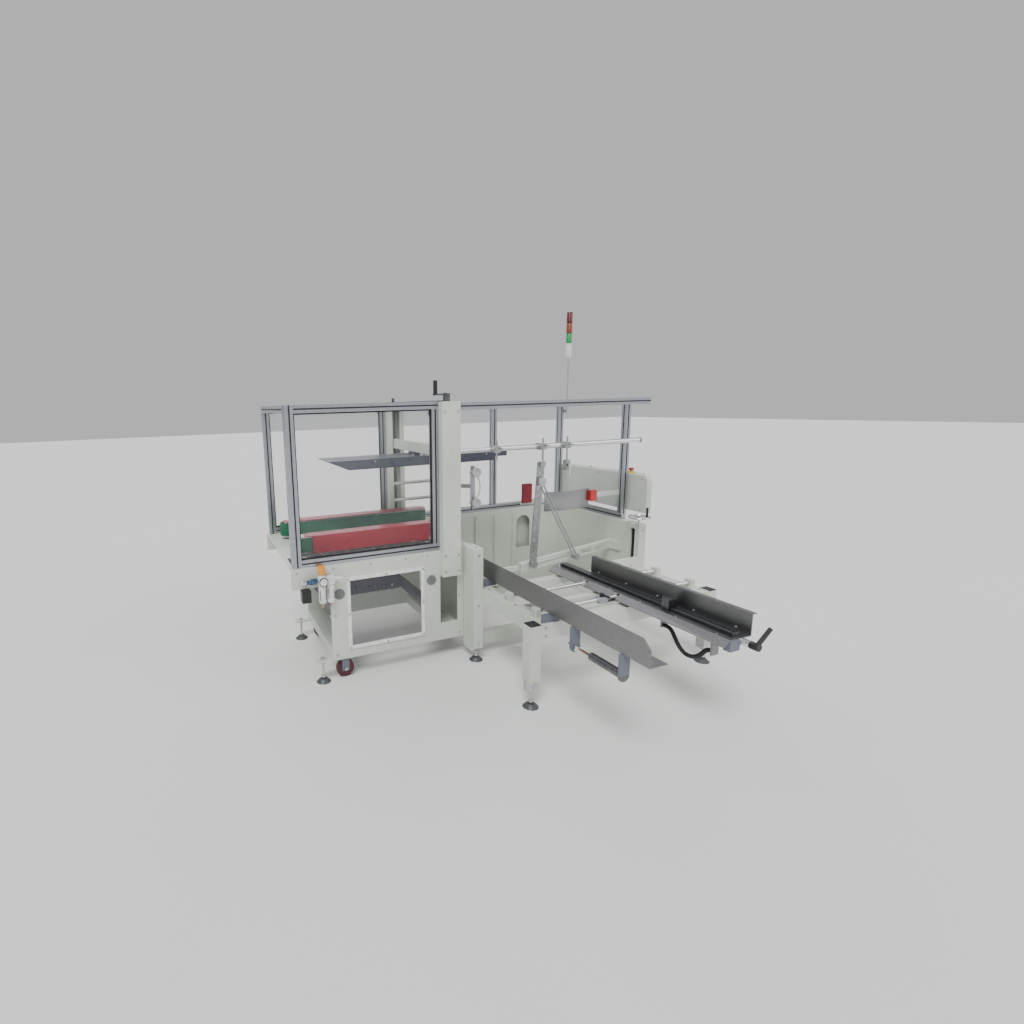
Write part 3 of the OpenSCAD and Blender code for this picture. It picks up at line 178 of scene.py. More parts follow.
def powder_coat(name, color, rough=0.42, grime=0.82):
    """Sprayed paint: orange peel, cloudy dust and a colour that gets darker towards the bottom."""
    material, bsdf, node, link = shader(name)
    dust, _ = mottle(node, link, tint(color, 0.90), tint(color, 1.04), 2.4)
    speck, _ = mottle(node, link, grey(grime), grey(1.0), 38, spread=(0.30, 0.44))
    # the colour is darker towards the bottom: 0.84 of itself at the floor, rising to full at 0.45
    # m
    height = node("ShaderNodeSeparateXYZ")
    place = node("ShaderNodeTexCoord")
    fade = node("ShaderNodeMapRange")
    fade.inputs["From Min"].default_value = 0.02
    fade.inputs["From Max"].default_value = 0.45
    fade.inputs["To Min"].default_value = 0.84
    fade.inputs["To Max"].default_value = 1.0
    link(place.outputs["Object"], height.inputs["Vector"])
    link(height.outputs["Z"], fade.inputs["Value"])
    first = node("ShaderNodeMix", data_type="RGBA", blend_type="MULTIPLY")
    first.inputs["Factor"].default_value = 0.35
    link(dust.outputs["Color"], first.inputs[6])
    link(speck.outputs["Color"], first.inputs[7])
    second = node("ShaderNodeMix", data_type="RGBA", blend_type="MULTIPLY")
    second.inputs["Factor"].default_value = 1.0
    link(first.outputs[2], second.inputs[6])
    link(fade.outputs["Result"], second.inputs[7])
    link(second.outputs[2], bsdf.inputs["Base Color"])
    shine, _ = mottle(node, link, grey(rough - 0.07), grey(rough + 0.08), 9)
    link(shine.outputs["Color"], bsdf.inputs["Roughness"])
    _, peel = mottle(node, link, grey(0), grey(1), 520, detail=2.0)
    bump(node, link, bsdf, peel.outputs["Fac"], 0.18, 0.0006)
    bsdf.inputs["Specular IOR Level"].default_value = 0.45
    return material


def worked_metal(name, color, rough, stretch, metallic=1.0, depth=0.25, contrast=0.16):
    """Drawn, brushed or plated metal with a grain along one direction."""
    material, bsdf, node, link = shader(name)
    tone, _ = mottle(node, link, tint(color, 1 - contrast), tint(color, 1 + contrast), 60,
                     stretch=stretch)
    link(tone.outputs["Color"], bsdf.inputs["Base Color"])
    shine, grain = mottle(node, link, grey(max(0.03, rough - 0.08)), grey(rough + 0.10), 95,
                          stretch=stretch)
    link(shine.outputs["Color"], bsdf.inputs["Roughness"])
    bump(node, link, bsdf, grain.outputs["Fac"], depth, 0.0004)
    bsdf.inputs["Metallic"].default_value = metallic
    return material


def moulded(name, color, rough=0.45, grain=700, depth=0.15, coat=0.0):
    """Moulded plastic or rubber with a fine grain and faint handling marks."""
    material, bsdf, node, link = shader(name)
    tone, _ = mottle(node, link, tint(color, 0.86), tint(color, 1.10), 22)
    link(tone.outputs["Color"], bsdf.inputs["Base Color"])
    shine, _ = mottle(node, link, grey(max(0.05, rough - 0.10)), grey(rough + 0.08), 30)
    link(shine.outputs["Color"], bsdf.inputs["Roughness"])
    _, skin = mottle(node, link, grey(0), grey(1), grain, detail=2.0)
    bump(node, link, bsdf, skin.outputs["Fac"], depth, 0.0004)
    bsdf.inputs["Coat Weight"].default_value = coat
    return material


def clear_sheet(name, color, alpha):
    """Clear polycarbonate: see-through, with smears that change its gloss."""
    material, bsdf, node, link = shader(name)
    tone, _ = mottle(node, link, tint(color, 0.97), color, 3)
    link(tone.outputs["Color"], bsdf.inputs["Base Color"])
    shine, _ = mottle(node, link, grey(0.03), grey(0.12), 5)
    link(shine.outputs["Color"], bsdf.inputs["Roughness"])
    bsdf.inputs["Alpha"].default_value = alpha
    return material


def lit_lens(name, color):
    """Ribbed signal lens, glowing faintly through its colour."""
    material, bsdf, node, link = shader(name)
    tone, _ = mottle(node, link, tint(color, 0.8), color, 40, stretch=(1, 1, 0.1))
    link(tone.outputs["Color"], bsdf.inputs["Base Color"])
    wave = node("ShaderNodeTexWave", wave_type="BANDS", bands_direction="Z")
    wave.inputs["Scale"].default_value = 60
    place = node("ShaderNodeTexCoord")
    link(place.outputs["Object"], wave.inputs["Vector"])
    bump(node, link, bsdf, wave.outputs["Fac"], 0.5, 0.001)
    bsdf.inputs["Roughness"].default_value = 0.22
    bsdf.inputs["Coat Weight"].default_value = 0.6
    return material


def studio_floor():
    """Plain pale sweep with the faintest clouding."""
    material, bsdf, node, link = shader("floor")
    tone, _ = mottle(node, link, (0.755, 0.75, 0.735), (0.775, 0.77, 0.755), 0.8, detail=2.0)
    link(tone.outputs["Color"], bsdf.inputs["Base Color"])
    bsdf.inputs["Roughness"].default_value = 0.9
    return material


def belt_rubber(name, color):
    """Belt with a fine diamond tread."""
    material, bsdf, node, link = shader(name)
    tone, _ = mottle(node, link, tint(color, 0.75), tint(color, 1.25), 14)
    link(tone.outputs["Color"], bsdf.inputs["Base Color"])
    place = node("ShaderNodeTexCoord")
    cells = node("ShaderNodeTexVoronoi", distance="CHEBYCHEV")
    cells.inputs["Scale"].default_value = 260
    cells.inputs["Randomness"].default_value = 0.1
    link(place.outputs["Object"], cells.inputs["Vector"])
    bump(node, link, bsdf, cells.outputs["Distance"], 0.6, 0.0008)
    bsdf.inputs["Roughness"].default_value = 0.62
    return material


MADE = {}


def finish(name):
    """The named finish, made the first time it is asked for."""
    if name not in MADE:
        MADE[name] = FINISHES[name]()
    return MADE[name]


def paint():
    return bpy.context.scene.erector_paint


FINISHES = {
    "body paint": lambda: powder_coat("body paint", tuple(paint().body)),
    "dark paint": lambda: powder_coat("dark paint", (0.022, 0.023, 0.026), 0.5),
    "ski paint": lambda: powder_coat("ski paint", tuple(paint().ski), 0.34),
    "bracket paint": lambda: powder_coat("bracket paint", (0.15, 0.17, 0.21), 0.4),
    "head paint": lambda: powder_coat("head paint", (0.062, 0.050, 0.098), 0.4),
    "cover paint": lambda: powder_coat("cover paint", tuple(paint().cover), 0.30),
    "window trim": lambda: moulded("window trim", (0.80, 0.81, 0.79), 0.5),
    "clear sheet": lambda: clear_sheet("clear sheet", (0.60, 0.63, 0.64), 0.045),
    "belt": lambda: belt_rubber("belt", tuple(paint().belt)),
    "profile": lambda: worked_metal("profile", tuple(paint().profile), 0.36, (1, 1, 1),
                                    depth=0.1, contrast=0.05),
    # painted shade: a dark colour standing in for the shade inside the guard profiles' grooves
    "painted groove shade": lambda: worked_metal("painted groove shade", (0.10, 0.10, 0.11), 0.5, (1, 1, 1)),
    "brushed along y": lambda: worked_metal("brushed along y", (0.26, 0.26, 0.265), 0.38,
                                            (24, 0.6, 24), contrast=0.20),
    "brushed along x": lambda: worked_metal("brushed along x", (0.36, 0.36, 0.37), 0.34,
                                            (0.6, 24, 24)),
    "zinc": lambda: worked_metal("zinc", (0.55, 0.56, 0.56), 0.38, (1, 1, 1), contrast=0.12),
    "cast zinc": lambda: worked_metal("cast zinc", (0.42, 0.43, 0.43), 0.5, (1, 1, 1), depth=0.6),
    "polished rail": lambda: worked_metal("polished rail", (0.115, 0.12, 0.13), 0.30,
                                          (24, 0.6, 24), contrast=0.25),
    "dark steel": lambda: worked_metal("dark steel", (0.16, 0.165, 0.175), 0.32, (1, 1, 1)),
    "lip alloy": lambda: worked_metal("lip alloy", (0.52, 0.52, 0.56), 0.42, (24, 0.6, 24),
                                      contrast=0.08),
    "disc grey": lambda: moulded("disc grey", (0.16, 0.17, 0.17), 0.5),
    "bowl white": lambda: moulded("bowl white", (0.70, 0.71, 0.69), 0.35),
    "chrome": lambda: worked_metal("chrome", (0.78, 0.79, 0.80), 0.12, (1, 1, 1), depth=0.03,
                                   contrast=0.03),
    "copper": lambda: worked_metal("copper", (0.62, 0.36, 0.22), 0.35, (1, 1, 1)),
    "bronze rod": lambda: worked_metal("bronze rod", (0.35, 0.24, 0.17), 0.4, (1, 1, 1)),
    "black plastic": lambda: moulded("black plastic", (0.016, 0.016, 0.018), 0.42),
    "black rubber": lambda: moulded("black rubber", (0.018, 0.018, 0.019), 0.7, 500, 0.3),
    "foot iron": lambda: moulded("foot iron", (0.06, 0.065, 0.07), 0.5, 300, 0.4),
    "white plastic": lambda: moulded("white plastic", (0.76, 0.77, 0.75), 0.35),
    "cup silicone": lambda: moulded("cup silicone", (0.50, 0.51, 0.50), 0.5),
    "red plastic": lambda: moulded("red plastic", (0.55, 0.012, 0.016), 0.28, coat=0.4),
    "dark red block": lambda: moulded("dark red block", (0.22, 0.012, 0.022), 0.4),
    "yellow plastic": lambda: moulded("yellow plastic", (0.80, 0.52, 0.02), 0.35, coat=0.3),
    "orange plastic": lambda: moulded("orange plastic", (0.85, 0.34, 0.02), 0.35, coat=0.3),
    "blue steel": lambda: worked_metal("blue steel", (0.10, 0.17, 0.26), 0.30, (1, 1, 1)),
    "maroon tread": lambda: moulded("maroon tread", (0.075, 0.012, 0.016), 0.5),
    "wheel hub": lambda: moulded("wheel hub", (0.05, 0.05, 0.055), 0.4),
    "packing tape": lambda: moulded("packing tape", (0.48, 0.33, 0.16), 0.18, 60, 0.1, coat=0.6),
    "red lens": lambda: lit_lens("red lens", (0.16, 0.008, 0.012)),
    "green lens": lambda: lit_lens("green lens", (0.006, 0.36, 0.10)),
    "amber lens": lambda: lit_lens("amber lens", (0.28, 0.045, 0.012)),
    "floor": studio_floor,
}


# ---------------------------------------------------------------- mesh builders

class Builder:
    """Collects shapes in one mesh, each with its own finish."""

    def __init__(self, name, body, *finishes):
        self.name = name
        self.body = body
        self.finishes = finishes
        self.mesh = bmesh.new()

    def _mark(self, faces, index):
        for face in faces:
            face.material_index = index

    def box(self, low, high, index=0):
        low, high = Vector(low), Vector(high)
        made = bmesh.ops.create_cube(self.mesh, size=1.0)
        size = high - low
        middle = (low + high) / 2
        bmesh.ops.transform(self.mesh, verts=made["verts"],
                            matrix=Matrix.Translation(middle) @ Matrix.Diagonal((*size, 1)))
        self._mark({f for v in made["verts"] for f in v.link_faces}, index)
        return made["verts"]

    def rod(self, start, end, radius, index=0, sides=None, tip=None):
        start, end = Vector(start), Vector(end)
        along = end - start
        made = bmesh.ops.create_cone(
            self.mesh, cap_ends=True, segments=sides or bpy.context.scene.erector_trim.sides,
            radius1=radius, radius2=radius if tip is None else tip, depth=along.length)
        turn = Vector((0, 0, 1)).rotation_difference(along).to_matrix().to_4x4()
        bmesh.ops.transform(self.mesh, verts=made["verts"],
                            matrix=Matrix.Translation((start + end) / 2) @ turn)
        self._mark({f for v in made["verts"] for f in v.link_faces}, index)
        return made["verts"]

    def lathe(self, foot, axis, outline, index=0, sides=None):
        """Turns an outline of (radius, height) points about an axis through foot."""
        sides = sides or bpy.context.scene.erector_trim.sides
        turn = Vector((0, 0, 1)).rotation_difference(Vector(axis)).to_matrix().to_4x4()
        place = Matrix.Translation(Vector(foot)) @ turn
        rings = []
        for radius, height in outline:
            ring = [self.mesh.verts.new(place @ Vector((
                radius * math.cos(2 * math.pi * k / sides),
                radius * math.sin(2 * math.pi * k / sides), height))) for k in range(sides)]
            rings.append(ring)
        faces = [self.mesh.faces.new(rings[0][::-1]), self.mesh.faces.new(rings[-1])]
        for low, high in zip(rings, rings[1:]):
            for k in range(sides):
                n = (k + 1) % sides
                faces.append(self.mesh.faces.new((low[k], low[n], high[n], high[k])))
        self._mark(faces, index)

    def screw(self, point, axis, radius=None, index=0):
        """A domed socket screw head standing on a face at point."""
        r = radius or bpy.context.scene.erector_trim.screw
        self.lathe(point, axis, [(r, 0), (r, r * 0.45), (r * 0.86, r * 0.72), (r * 0.5, r * 0.8),
                                 (r * 0.46, r * 0.8), (r * 0.44, r * 0.35), (0.0004, r * 0.35)],
                   index, 16)

    def nut(self, point, axis, radius, height, index=0):
        axis = Vector(axis).normalized()
        self.rod(point, Vector(point) + axis * height, radius, index, sides=6)

    def tube(self, points, radius, index=0, sides=12):
        """A round tube through points, with an evenly turned frame."""
        points = [Vector(p) for p in points]
        rings = []
        side = None
        for k, point in enumerate(points):
            ahead = points[min(k + 1, len(points) - 1)] - points[max(k - 1, 0)]
            ahead.normalize()
            if side is None:
                side = ahead.orthogonal().normalized()
            side = (side - ahead * side.dot(ahead)).normalized()
            other = ahead.cross(side)
            r = radius(k) if callable(radius) else radius
            rings.append([self.mesh.verts.new(
                point + r * (math.cos(a) * side + math.sin(a) * other))
                for a in (2 * math.pi * n / sides for n in range(sides))])
        faces = [self.mesh.faces.new(rings[0][::-1]), self.mesh.faces.new(rings[-1])]
        for low, high in zip(rings, rings[1:]):
            for k in range(sides):
                n = (k + 1) % sides
                faces.append(self.mesh.faces.new((low[k], low[n], high[n], high[k])))
        self._mark(faces, index)

    def done(self, edge=None):
        """Makes the object, softens its edges and lets it ride on its body."""
        bmesh.ops.recalc_face_normals(self.mesh, faces=self.mesh.faces)
        data = bpy.data.meshes.new(self.name)
        self.mesh.to_mesh(data)
        self.mesh.free()
        made = bpy.data.objects.new(self.name, data)
        bpy.context.scene.collection.objects.link(made)
        for name in self.finishes:
            data.materials.append(finish(name))
        soften(made, edge if edge is not None else 0.0006)
        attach(made, self.body)
        return made


def soften(obj, width):
    """Rounds an object's sharp edges a little, and shades the rest smooth."""
    for face in obj.data.polygons:
        face.use_smooth = True
    if width:
        bevel = obj.modifiers.new("soft edges", "BEVEL")
        bevel.width = width
        bevel.segments = 2
        bevel.limit_method = "ANGLE"
        bevel.angle_limit = SMOOTH_ANGLE
        bevel.harden_normals = True
    obj.data.set_sharp_from_angle(angle=SMOOTH_ANGLE)


def curve(points, steps=6):
    """A smooth line through points (centripetal-like cubic), as a list."""
    points = [Vector(p) for p in points]
    ends = [2 * points[0] - points[1], *points, 2 * points[-1] - points[-2]]
    line = []
    for a, b, c, d in zip(ends, ends[1:], ends[2:], ends[3:]):
        for k in range(steps):
            t = k / steps
            line.append(0.5 * ((2 * b) + (c - a) * t + (2 * a - 5 * b + 4 * c - d) * t * t
                               + (3 * b - a - 3 * c + d) * t ** 3))
    line.append(points[-1])
    return line


def dress(node, *rules, edge=None):
    """Gives a CAD node its finishes. A rule is a finish name, or a name with a test of a face.

    The first rule covers what no later rule claims. The mesh itself stays as it is.
    """
    obj = NODES[node]
    obj.data.materials.clear()
    tests = []
    for index, rule in enumerate(rules):
        name, test = (rule, None) if isinstance(rule, str) else rule
        obj.data.materials.append(finish(name))
        if test:
            tests.append((index, test))
    for face in obj.data.polygons:
        face.material_index = 0
        for index, test in tests:
            if test(face.center, face.normal):
                face.material_index = index
                break
    if edge:
        weld = obj.modifiers.new("joined corners", "WELD")
        weld.merge_threshold = 0.00001
        bevel = obj.modifiers.new("soft edges", "BEVEL")
        bevel.width = edge
        bevel.segments = 2
        bevel.limit_method = "ANGLE"
        bevel.angle_limit = SMOOTH_ANGLE
    return obj


def within(low, high, margin=0.0005):
    """A test for faces whose middle lies in a box."""
    def test(point, _normal):
        return all(a - margin <= p <= b + margin for a, p, b in zip(low, point, high))
    return test


# ---------------------------------------------------------------- operators

class ERECTOR_OT_camera(bpy.types.Operator):
    """Place the camera"""

    bl_idname = "erector.camera"
    bl_label = "Camera"

    def execute(self, context):
        s = context.scene.erector_stage
        ahead = Vector((math.sin(s.azimuth) * math.cos(s.pitch),
                        math.cos(s.azimuth) * math.cos(s.pitch), -math.sin(s.pitch)))
        right = Vector((math.cos(s.azimuth), -math.sin(s.azimuth), 0))
        up = right.cross(ahead)
        c, k = math.cos(s.roll), math.sin(s.roll)
        right, up = c * right + k * up, c * up - k * right
        data = bpy.data.cameras.new("studio_camera")
        camera = bpy.data.objects.new("studio_camera", data)
        context.scene.collection.objects.link(camera)
        turn = Matrix((right, up, -ahead)).transposed().to_4x4()
        camera.matrix_world = Matrix.Translation(Vector(s.eye)) @ turn
        data.lens = s.lens
        data.sensor_width = 36
        data.shift_x = s.shift_x
        data.shift_y = s.shift_y
        data.clip_end = 100
        context.scene.camera = camera
        return {"FINISHED"}


class ERECTOR_OT_hose(bpy.types.Operator):
    """Hang the corrugated hose under the channel"""

    bl_idname = "erector.hose"
    bl_label = "Corrugated hose"

    route = ((379, -634, 392), (379, -650, 392), (379, -664, 388), (379, -676, 378),
             (379, -690, 358), (379, -706, 336), (379, -724, 318), (379, -744, 306),
             (379, -764, 303), (379, -784, 306), (379, -804, 316), (379, -822, 332),
             (379, -836, 350), (379, -848, 364), (379, -860, 371), (379, -872, 372),
             (379, -880, 372))

    def execute(self, context):
        line = curve([Vector(p) / 1000 for p in self.route], steps=10)
        radius = context.scene.erector_trim.hose / 2
        hose = Builder("corrugated_hose", "channel", "black rubber")
        hose.tube(line, lambda k: radius * (1.0 if k % 4 < 2 else 0.86), sides=20)
        made = hose.done(edge=0)
        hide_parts("channel_hose")
        return {"FINISHED"}


class ERECTOR_OT_finishes(bpy.types.Operator):
    """Give every CAD piece its paint, metal or plastic"""

    bl_idname = "erector.finishes"
    bl_label = "Finishes"

    def execute(self, context):
        edge = context.scene.erector_trim.edge
        for node in ("base_frame", "deck_plate", "near_column", "far_column", "corner_post",
                     "pit_walls", "right_column", "magazine_frame", "slotted_bar", "cross_beam",
                     "control_box"):
            dress(node, "body paint", edge=edge)
        self.sealer(edge)
        self.guards()
        self.magazine(edge)
        self.links(edge)
        self.signals()
        return {"FINISHED"}

    def sealer(self, edge):
        low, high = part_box("roller_strip")
        dress("roller_strip", "dark paint",
              ("zinc", within((low.x, low.y + 0.0035, low.z + 0.004),
                              (high.x, high.y - 0.0035, high.z))))
        dress("window_border", "window trim", edge=edge)
        dress("window_pane", "clear sheet")
        dress("tape_head_frame", "head paint", edge=edge)
        dress("tape_roll", "packing tape")
        for node in ("tape_front_arm", "tape_rear_arm"):
            dress(node, "black rubber", edge=edge)
        dress("top_cover_plate", "dark paint", edge=edge)
        low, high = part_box("top_crank")
        dress("top_crank", "dark steel", ("black plastic", within((low.x - 1, low.y, low.z + 0.97),
                                                              (low.x + 0.022, high.y, high.z))))
        dress("far_spindle", "dark steel")
        low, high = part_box("hold_down_ski")
        dress("hold_down_ski", "ski paint", edge=edge)
        low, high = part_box("near_carriage")
        dress("near_carriage", "zinc", edge=edge)
        for unit in ("near", "far"):
            dress(unit + "_belt", "belt")
            for side in ("left", "right"):
                dress(f"{unit}_drum_{side}", "dark paint")
        dress("near_cover", "cover paint", edge=edge)
        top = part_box("far_carriage")[1].z
        dress("far_carriage", "zinc", ("cover paint", within((-9, -9, top - 0.0045), (9, 9, top))))
        dress("caster_forks", "bracket paint", edge=edge)
        low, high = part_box("caster_wheels")
        middle = 0.05

        def hub(point, normal):
            return math.hypot(point.x - (low.x + high.x) / 2, point.z - middle) < 0.030
        dress("caster_wheels", "maroon tread", ("wheel hub", hub), edge=0.003)

    def guards(self):
        """Profiles are bright outside; their grooves are painted dark as shade."""
        low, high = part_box("guard_frames")
        wide = 0.040
        rows = (
            (low.x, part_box("near_column")[0].x - wide, high.x - wide, high.x - 0.632),
            (0.190, 0.230, 0.334, high.y - wide),
            (low.z, high.z - wide, high.z - wide - 0.009),
        )

        right_guard_x, rail_back_y, rail_slots_y = -0.27, 0.23, (0.1845, 0.2235)

        # faces inside the profiles' grooves, which get the dark painted groove shade
        def groove(point, normal):
            axis = max(range(3), key=lambda k: abs(normal[k]))
            # the right guard's front rail stands 6 mm nearer than the left guard's
            if axis == 1 and point.x > right_guard_x and point.y < rail_back_y:
                return rail_slots_y[0] < point.y < rail_slots_y[1]
            return any(abs(point[axis] - row - deep) < 0.0004
                       for row in rows[axis] for deep in (0.006, 0.034, 0.016, 0.024))
        dress("guard_frames", "profile", ("painted groove shade", groove))
        dress("guard_panels", "clear sheet")

    def magazine(self, edge):
        dress("levelling_legs", "foot iron",
              ("zinc", lambda p, n: p.z > 0.0262))
        dress("guide_shafts", "chrome")
        dress("blank_guide", "brushed along y",
              ("bracket paint", lambda p, n: p.z < 0.46495), edge=edge)
        dress("cylinder_body", "dark steel", ("bracket paint", self.hanger), edge=None)
        dress("cylinder_rod", "bronze rod",
              ("chrome", lambda p, n: math.hypot(p.x + 0.109, p.z - 0.37) > 0.0075))
        rail_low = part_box("channel_rail")[0]
        start = rail_low.y + 0.066
        dress("channel_rail", "brushed along y",
              ("chrome", lambda p, n: p.y < start - 0.0005),
              ("bracket paint", lambda p, n: p.z < 0.4599 and abs(p.y - start - 0.015) < 0.0155),
              ("lip alloy", lambda p, n: p.x < rail_low.x + 0.0335 and p.z > 0.434), edge=edge)
        dress("channel_guide", "polished rail", edge=0.002)
        dress("clamp_lever", "black plastic", edge=0.0015)
        dress("pusher", "dark steel", ("black plastic", lambda p, n: p.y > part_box("pusher")[1].y
                                   - 0.0101), edge=0.002)
        dress("lock_handle", "black plastic", edge=0.002)
        dress("hand_wheel", "chrome",
              ("black plastic", lambda p, n: p.z > 0.6905))

    @staticmethod
    def hanger(point, normal):
        """Faces of the two hanging plates, outside the cylinder's own radius."""
        plates = (-0.885, -0.605)
        return any(y - 0.0002 <= point.y <= y + 0.0082 for y in plates) and (
            point.z > 0.395 or math.hypot(point.x + 0.109, point.z - 0.37) > 0.0185)

    def links(self, edge):
        low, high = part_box("overhead_tube")
        axis_y, axis_z = 0.195, low.z + 0.086

        def clamp(point, normal):
            off = math.hypot(point.y - axis_y, point.z - axis_z)
            return off > 0.0165 and point.x < high.x - 0.01
        dress("overhead_tube", "chrome", ("cast zinc", clamp),
              ("black plastic", lambda p, n: p.x > high.x - 0.0065))
        dress("limit_switch", "cast zinc", ("black plastic",
              lambda p, n: p.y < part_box("limit_switch")[1].y - 0.0301), edge=edge)
        dress("switch_lever", "chrome")
        dress("link_bars", "cast zinc", edge=edge)
        dress("brace_knob", "zinc", edge=0.003)
        low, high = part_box("flap_folder")
        start = low.x + 0.17
        dress("flap_folder", "brushed along x",
              ("body paint", lambda p, n: p.y > 0.3595),
              ("red plastic", lambda p, n: p.x > start + 0.3455 and p.y < 0.3605
               and p.z > 0.785 and p.z < 0.8565 and p.y > 0.3355 - 0.001),
              ("dark red block", lambda p, n: p.x < start - 0.105 and p.y < 0.3605), edge=edge)
        dress("suction_arm", "profile",
              ("cup silicone", lambda p, n: p.y < 0.3955 and p.x > -0.07 and
               math.hypot(p.x + 0.039, 0) < 0.029),
              ("black plastic", lambda p, n: p.y < 0.405 and p.x < -0.0575))

    def signals(self):
        dress("stop_button", "red plastic", edge=0.003)
        dress("start_button", "red plastic", edge=0.0015)
        dress("regulator_knob", "orange plastic", edge=0.003)
        dress("junction_box", "black plastic", edge=0.003)
        dress("signal_tower", "white plastic")
        dress("air_unit", "white plastic", edge=0.002)


class ERECTOR_OT_window(bpy.types.Operator):
    """Add the window's screws, the round cover discs and casing screws"""

    bl_idname = "erector.window"
    bl_label = "Window trim and casing screws"

    def execute(self, context):
        low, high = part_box("window_border")
        face = low.y
        out = (0, -1, 0)
        screws = Builder("window_screws", "frame", "zinc")
        inset = 0.010
        for k in range(3):
            x = low.x + inset + k * (high.x - low.x - 2 * inset) / 2
            for z in (low.z + inset, high.z - inset):
                screws.screw((x, face, z), out)
        for x in (low.x + inset, high.x - inset):
            screws.screw((x, face, (low.z + high.z) / 2), out)
        screws.done(edge=0)

        discs = Builder("cover_discs", "frame", "disc grey", "zinc")
        plate = 0.190
        for x in (low.x - 0.038, high.x + 0.044):
            discs.lathe((x, plate, 0.475), out, [(0.0285, 0), (0.0285, 0.003), (0.026, 0.005),
                                                 (0.012, 0.0055), (0.011, 0.004), (0.002, 0.004)])
        discs.done(edge=0.0004)

        casing = Builder("casing_screws", "frame", "zinc")
        post_low, post_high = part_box("corner_post")
        middle = (post_low.x + post_high.x) / 2
        for z in (0.11, 0.33, 0.62):
            casing.screw((middle, post_low.y, z), out, 0.007)
        for y in (post_low.y + 0.03, post_high.y - 0.03):
            casing.screw((middle, y, post_high.z), (0, 0, 1), 0.007)
        mast_low, mast_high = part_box("near_column")
        for x in (mast_low.x + 0.014, mast_high.x - 0.014):
            for z in (mast_low.z + 0.03, mast_low.z + 0.12, mast_high.z - 0.05):
                casing.screw((x, mast_low.y, z), out, 0.006)
        for x in (-1.17, -0.98, -0.78, -0.58, -0.45):
            casing.screw((x, plate, 0.618), out, 0.005)
        for z in (0.14, 0.36):
            for x in (-0.98, -0.255):
                casing.screw((x, plate, z), out, 0.006)
        column_low, column_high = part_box("right_column")
        for z in (0.10, 0.34, 0.60):
            casing.screw(((column_low.x + column_high.x) / 2, column_low.y, z), out, 0.007)
        casing.done(edge=0)

        slot = Builder("column_slide_cover", "frame", "black rubber")
        x, y = column_low.x + 0.018, column_low.y
        for k in range(21):
            z = 0.396 + k * 0.0099
            slot.rod((x, y + 0.0355, z + 0.005), (x, y + 0.0705, z + 0.005), 0.0048, sides=12)
        slot.done(edge=0)
        return {"FINISHED"}


class ERECTOR_OT_guard_fittings(bpy.types.Operator):
    """Add seals, corner brackets and end caps to the guards"""

    bl_idname = "erector.guard_fittings"
    bl_label = "Guard fittings"

    def execute(self, context):
        low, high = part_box("guard_frames")
        wide = 0.040
        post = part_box("near_column")[0].x - wide
        near = 0.190
        top = high.z - wide
        bottom = low.z + wide
        seals = Builder("panel_seals", "frame", "black rubber")
        inner = (low.x + wide, post)
        thick = 0.007
        for y in ((near + 0.0140, near + 0.0172), (high.y - 0.0260, high.y - 0.0228)):
            seals.box((inner[0], y[0], bottom), (inner[0] + thick, y[1], top))
            seals.box((inner[1] - thick, y[0], bottom), (inner[1], y[1], top))
            seals.box((inner[0] + thick, y[0], bottom), (inner[1] - thick, y[1], bottom + thick))
            seals.box((inner[0] + thick, y[0], top - thick), (inner[1] - thick, y[1], top))
        seals.done(edge=0.001)

        brackets = Builder("corner_brackets", "frame", "cast zinc", "zinc")
        size = 0.034
        for x, side in ((inner[0], 1), (inner[1], -1)):
            for z, rise in ((bottom, 1), (top, -1)):
                for y in (near + 0.024, high.y - 0.016):
                    a = (min(x, x + side * size), y, min(z, z + rise * 0.006))
                    b = (max(x, x + side * size), y + 0.013, max(z, z + rise * 0.006))
                    brackets.box(a, b)
                    a = (min(x, x + side * 0.006), y, min(z + rise * 0.006, z + rise * size))
                    b = (max(x, x + side * 0.006), y + 0.013,
                         max(z + rise * 0.006, z + rise * size))
                    brackets.box(a, b)
                    brackets.screw((x + side * 0.022, y + 0.0065, z + rise * 0.006),
                                   (0, 0, rise), 0.005, 1)
                    brackets.screw((x + side * 0.006, y + 0.0065, z + rise * 0.022),
                                   (side, 0, 0), 0.005, 1)
        brackets.done()

        caps = Builder("profile_end_caps", "frame", "black plastic")
        caps.box((high.x, 0.185, high.z - 0.048), (high.x + 0.0025, 0.223, high.z - 0.010))
        caps.done(edge=0.001)
        return {"FINISHED"}


class ERECTOR_OT_tower(bpy.types.Operator):
    """Build the signal tower on its pole"""

    bl_idname = "erector.tower"
    bl_label = "Signal tower"

    def execute(self, context):
        low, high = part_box("signal_tower")
        x, y = 1.096, 0.975
        up = (0, 0, 1)
        tower = Builder("signal_tower_body", "frame", "white plastic", "zinc", "black rubber")
        tower.rod((x, y, low.z), (x, y, 1.734), 0.005, 1)
        tower.box((1.086, 0.968, low.z + 0.012), (1.106, 1.010, low.z + 0.033), 1)
        tower.screw((1.106, 0.998, low.z + 0.0225), (1, 0, 0), 0.005, 1)
        tower.lathe((x, y, 1.734), up, [(0.009, 0), (0.012, 0.010), (0.020, 0.016), (0.0225, 0.03),
                                        (0.0225, 0.094), (0.021, 0.098), (0.021, 0.104),
                                        (0.0225, 0.108), (0.0225, 0.116)])
        tower.rod((x, y, high.z - 0.003), (x, y, high.z), 0.018, 0)
        tower.done(edge=0.0005)
        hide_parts("signal_tower")
        lens = (("lower_lens", "green lens", 1.851), ("middle_lens", "amber lens", 1.925),
                ("upper_lens", "red lens", 1.999))
        for name, glass, z in lens:
            made = Builder(name, "frame", glass, "black rubber")
            made.lathe((x, y, z), up, [(0.0190, 0), (0.0218, 0.002), (0.0218, 0.066),
                                       (0.0195, 0.070)])
            made.rod((x, y, z + 0.070), (x, y, z + 0.074), 0.0205, 1)
            made.done(edge=0.0006)
        return {"FINISHED"}


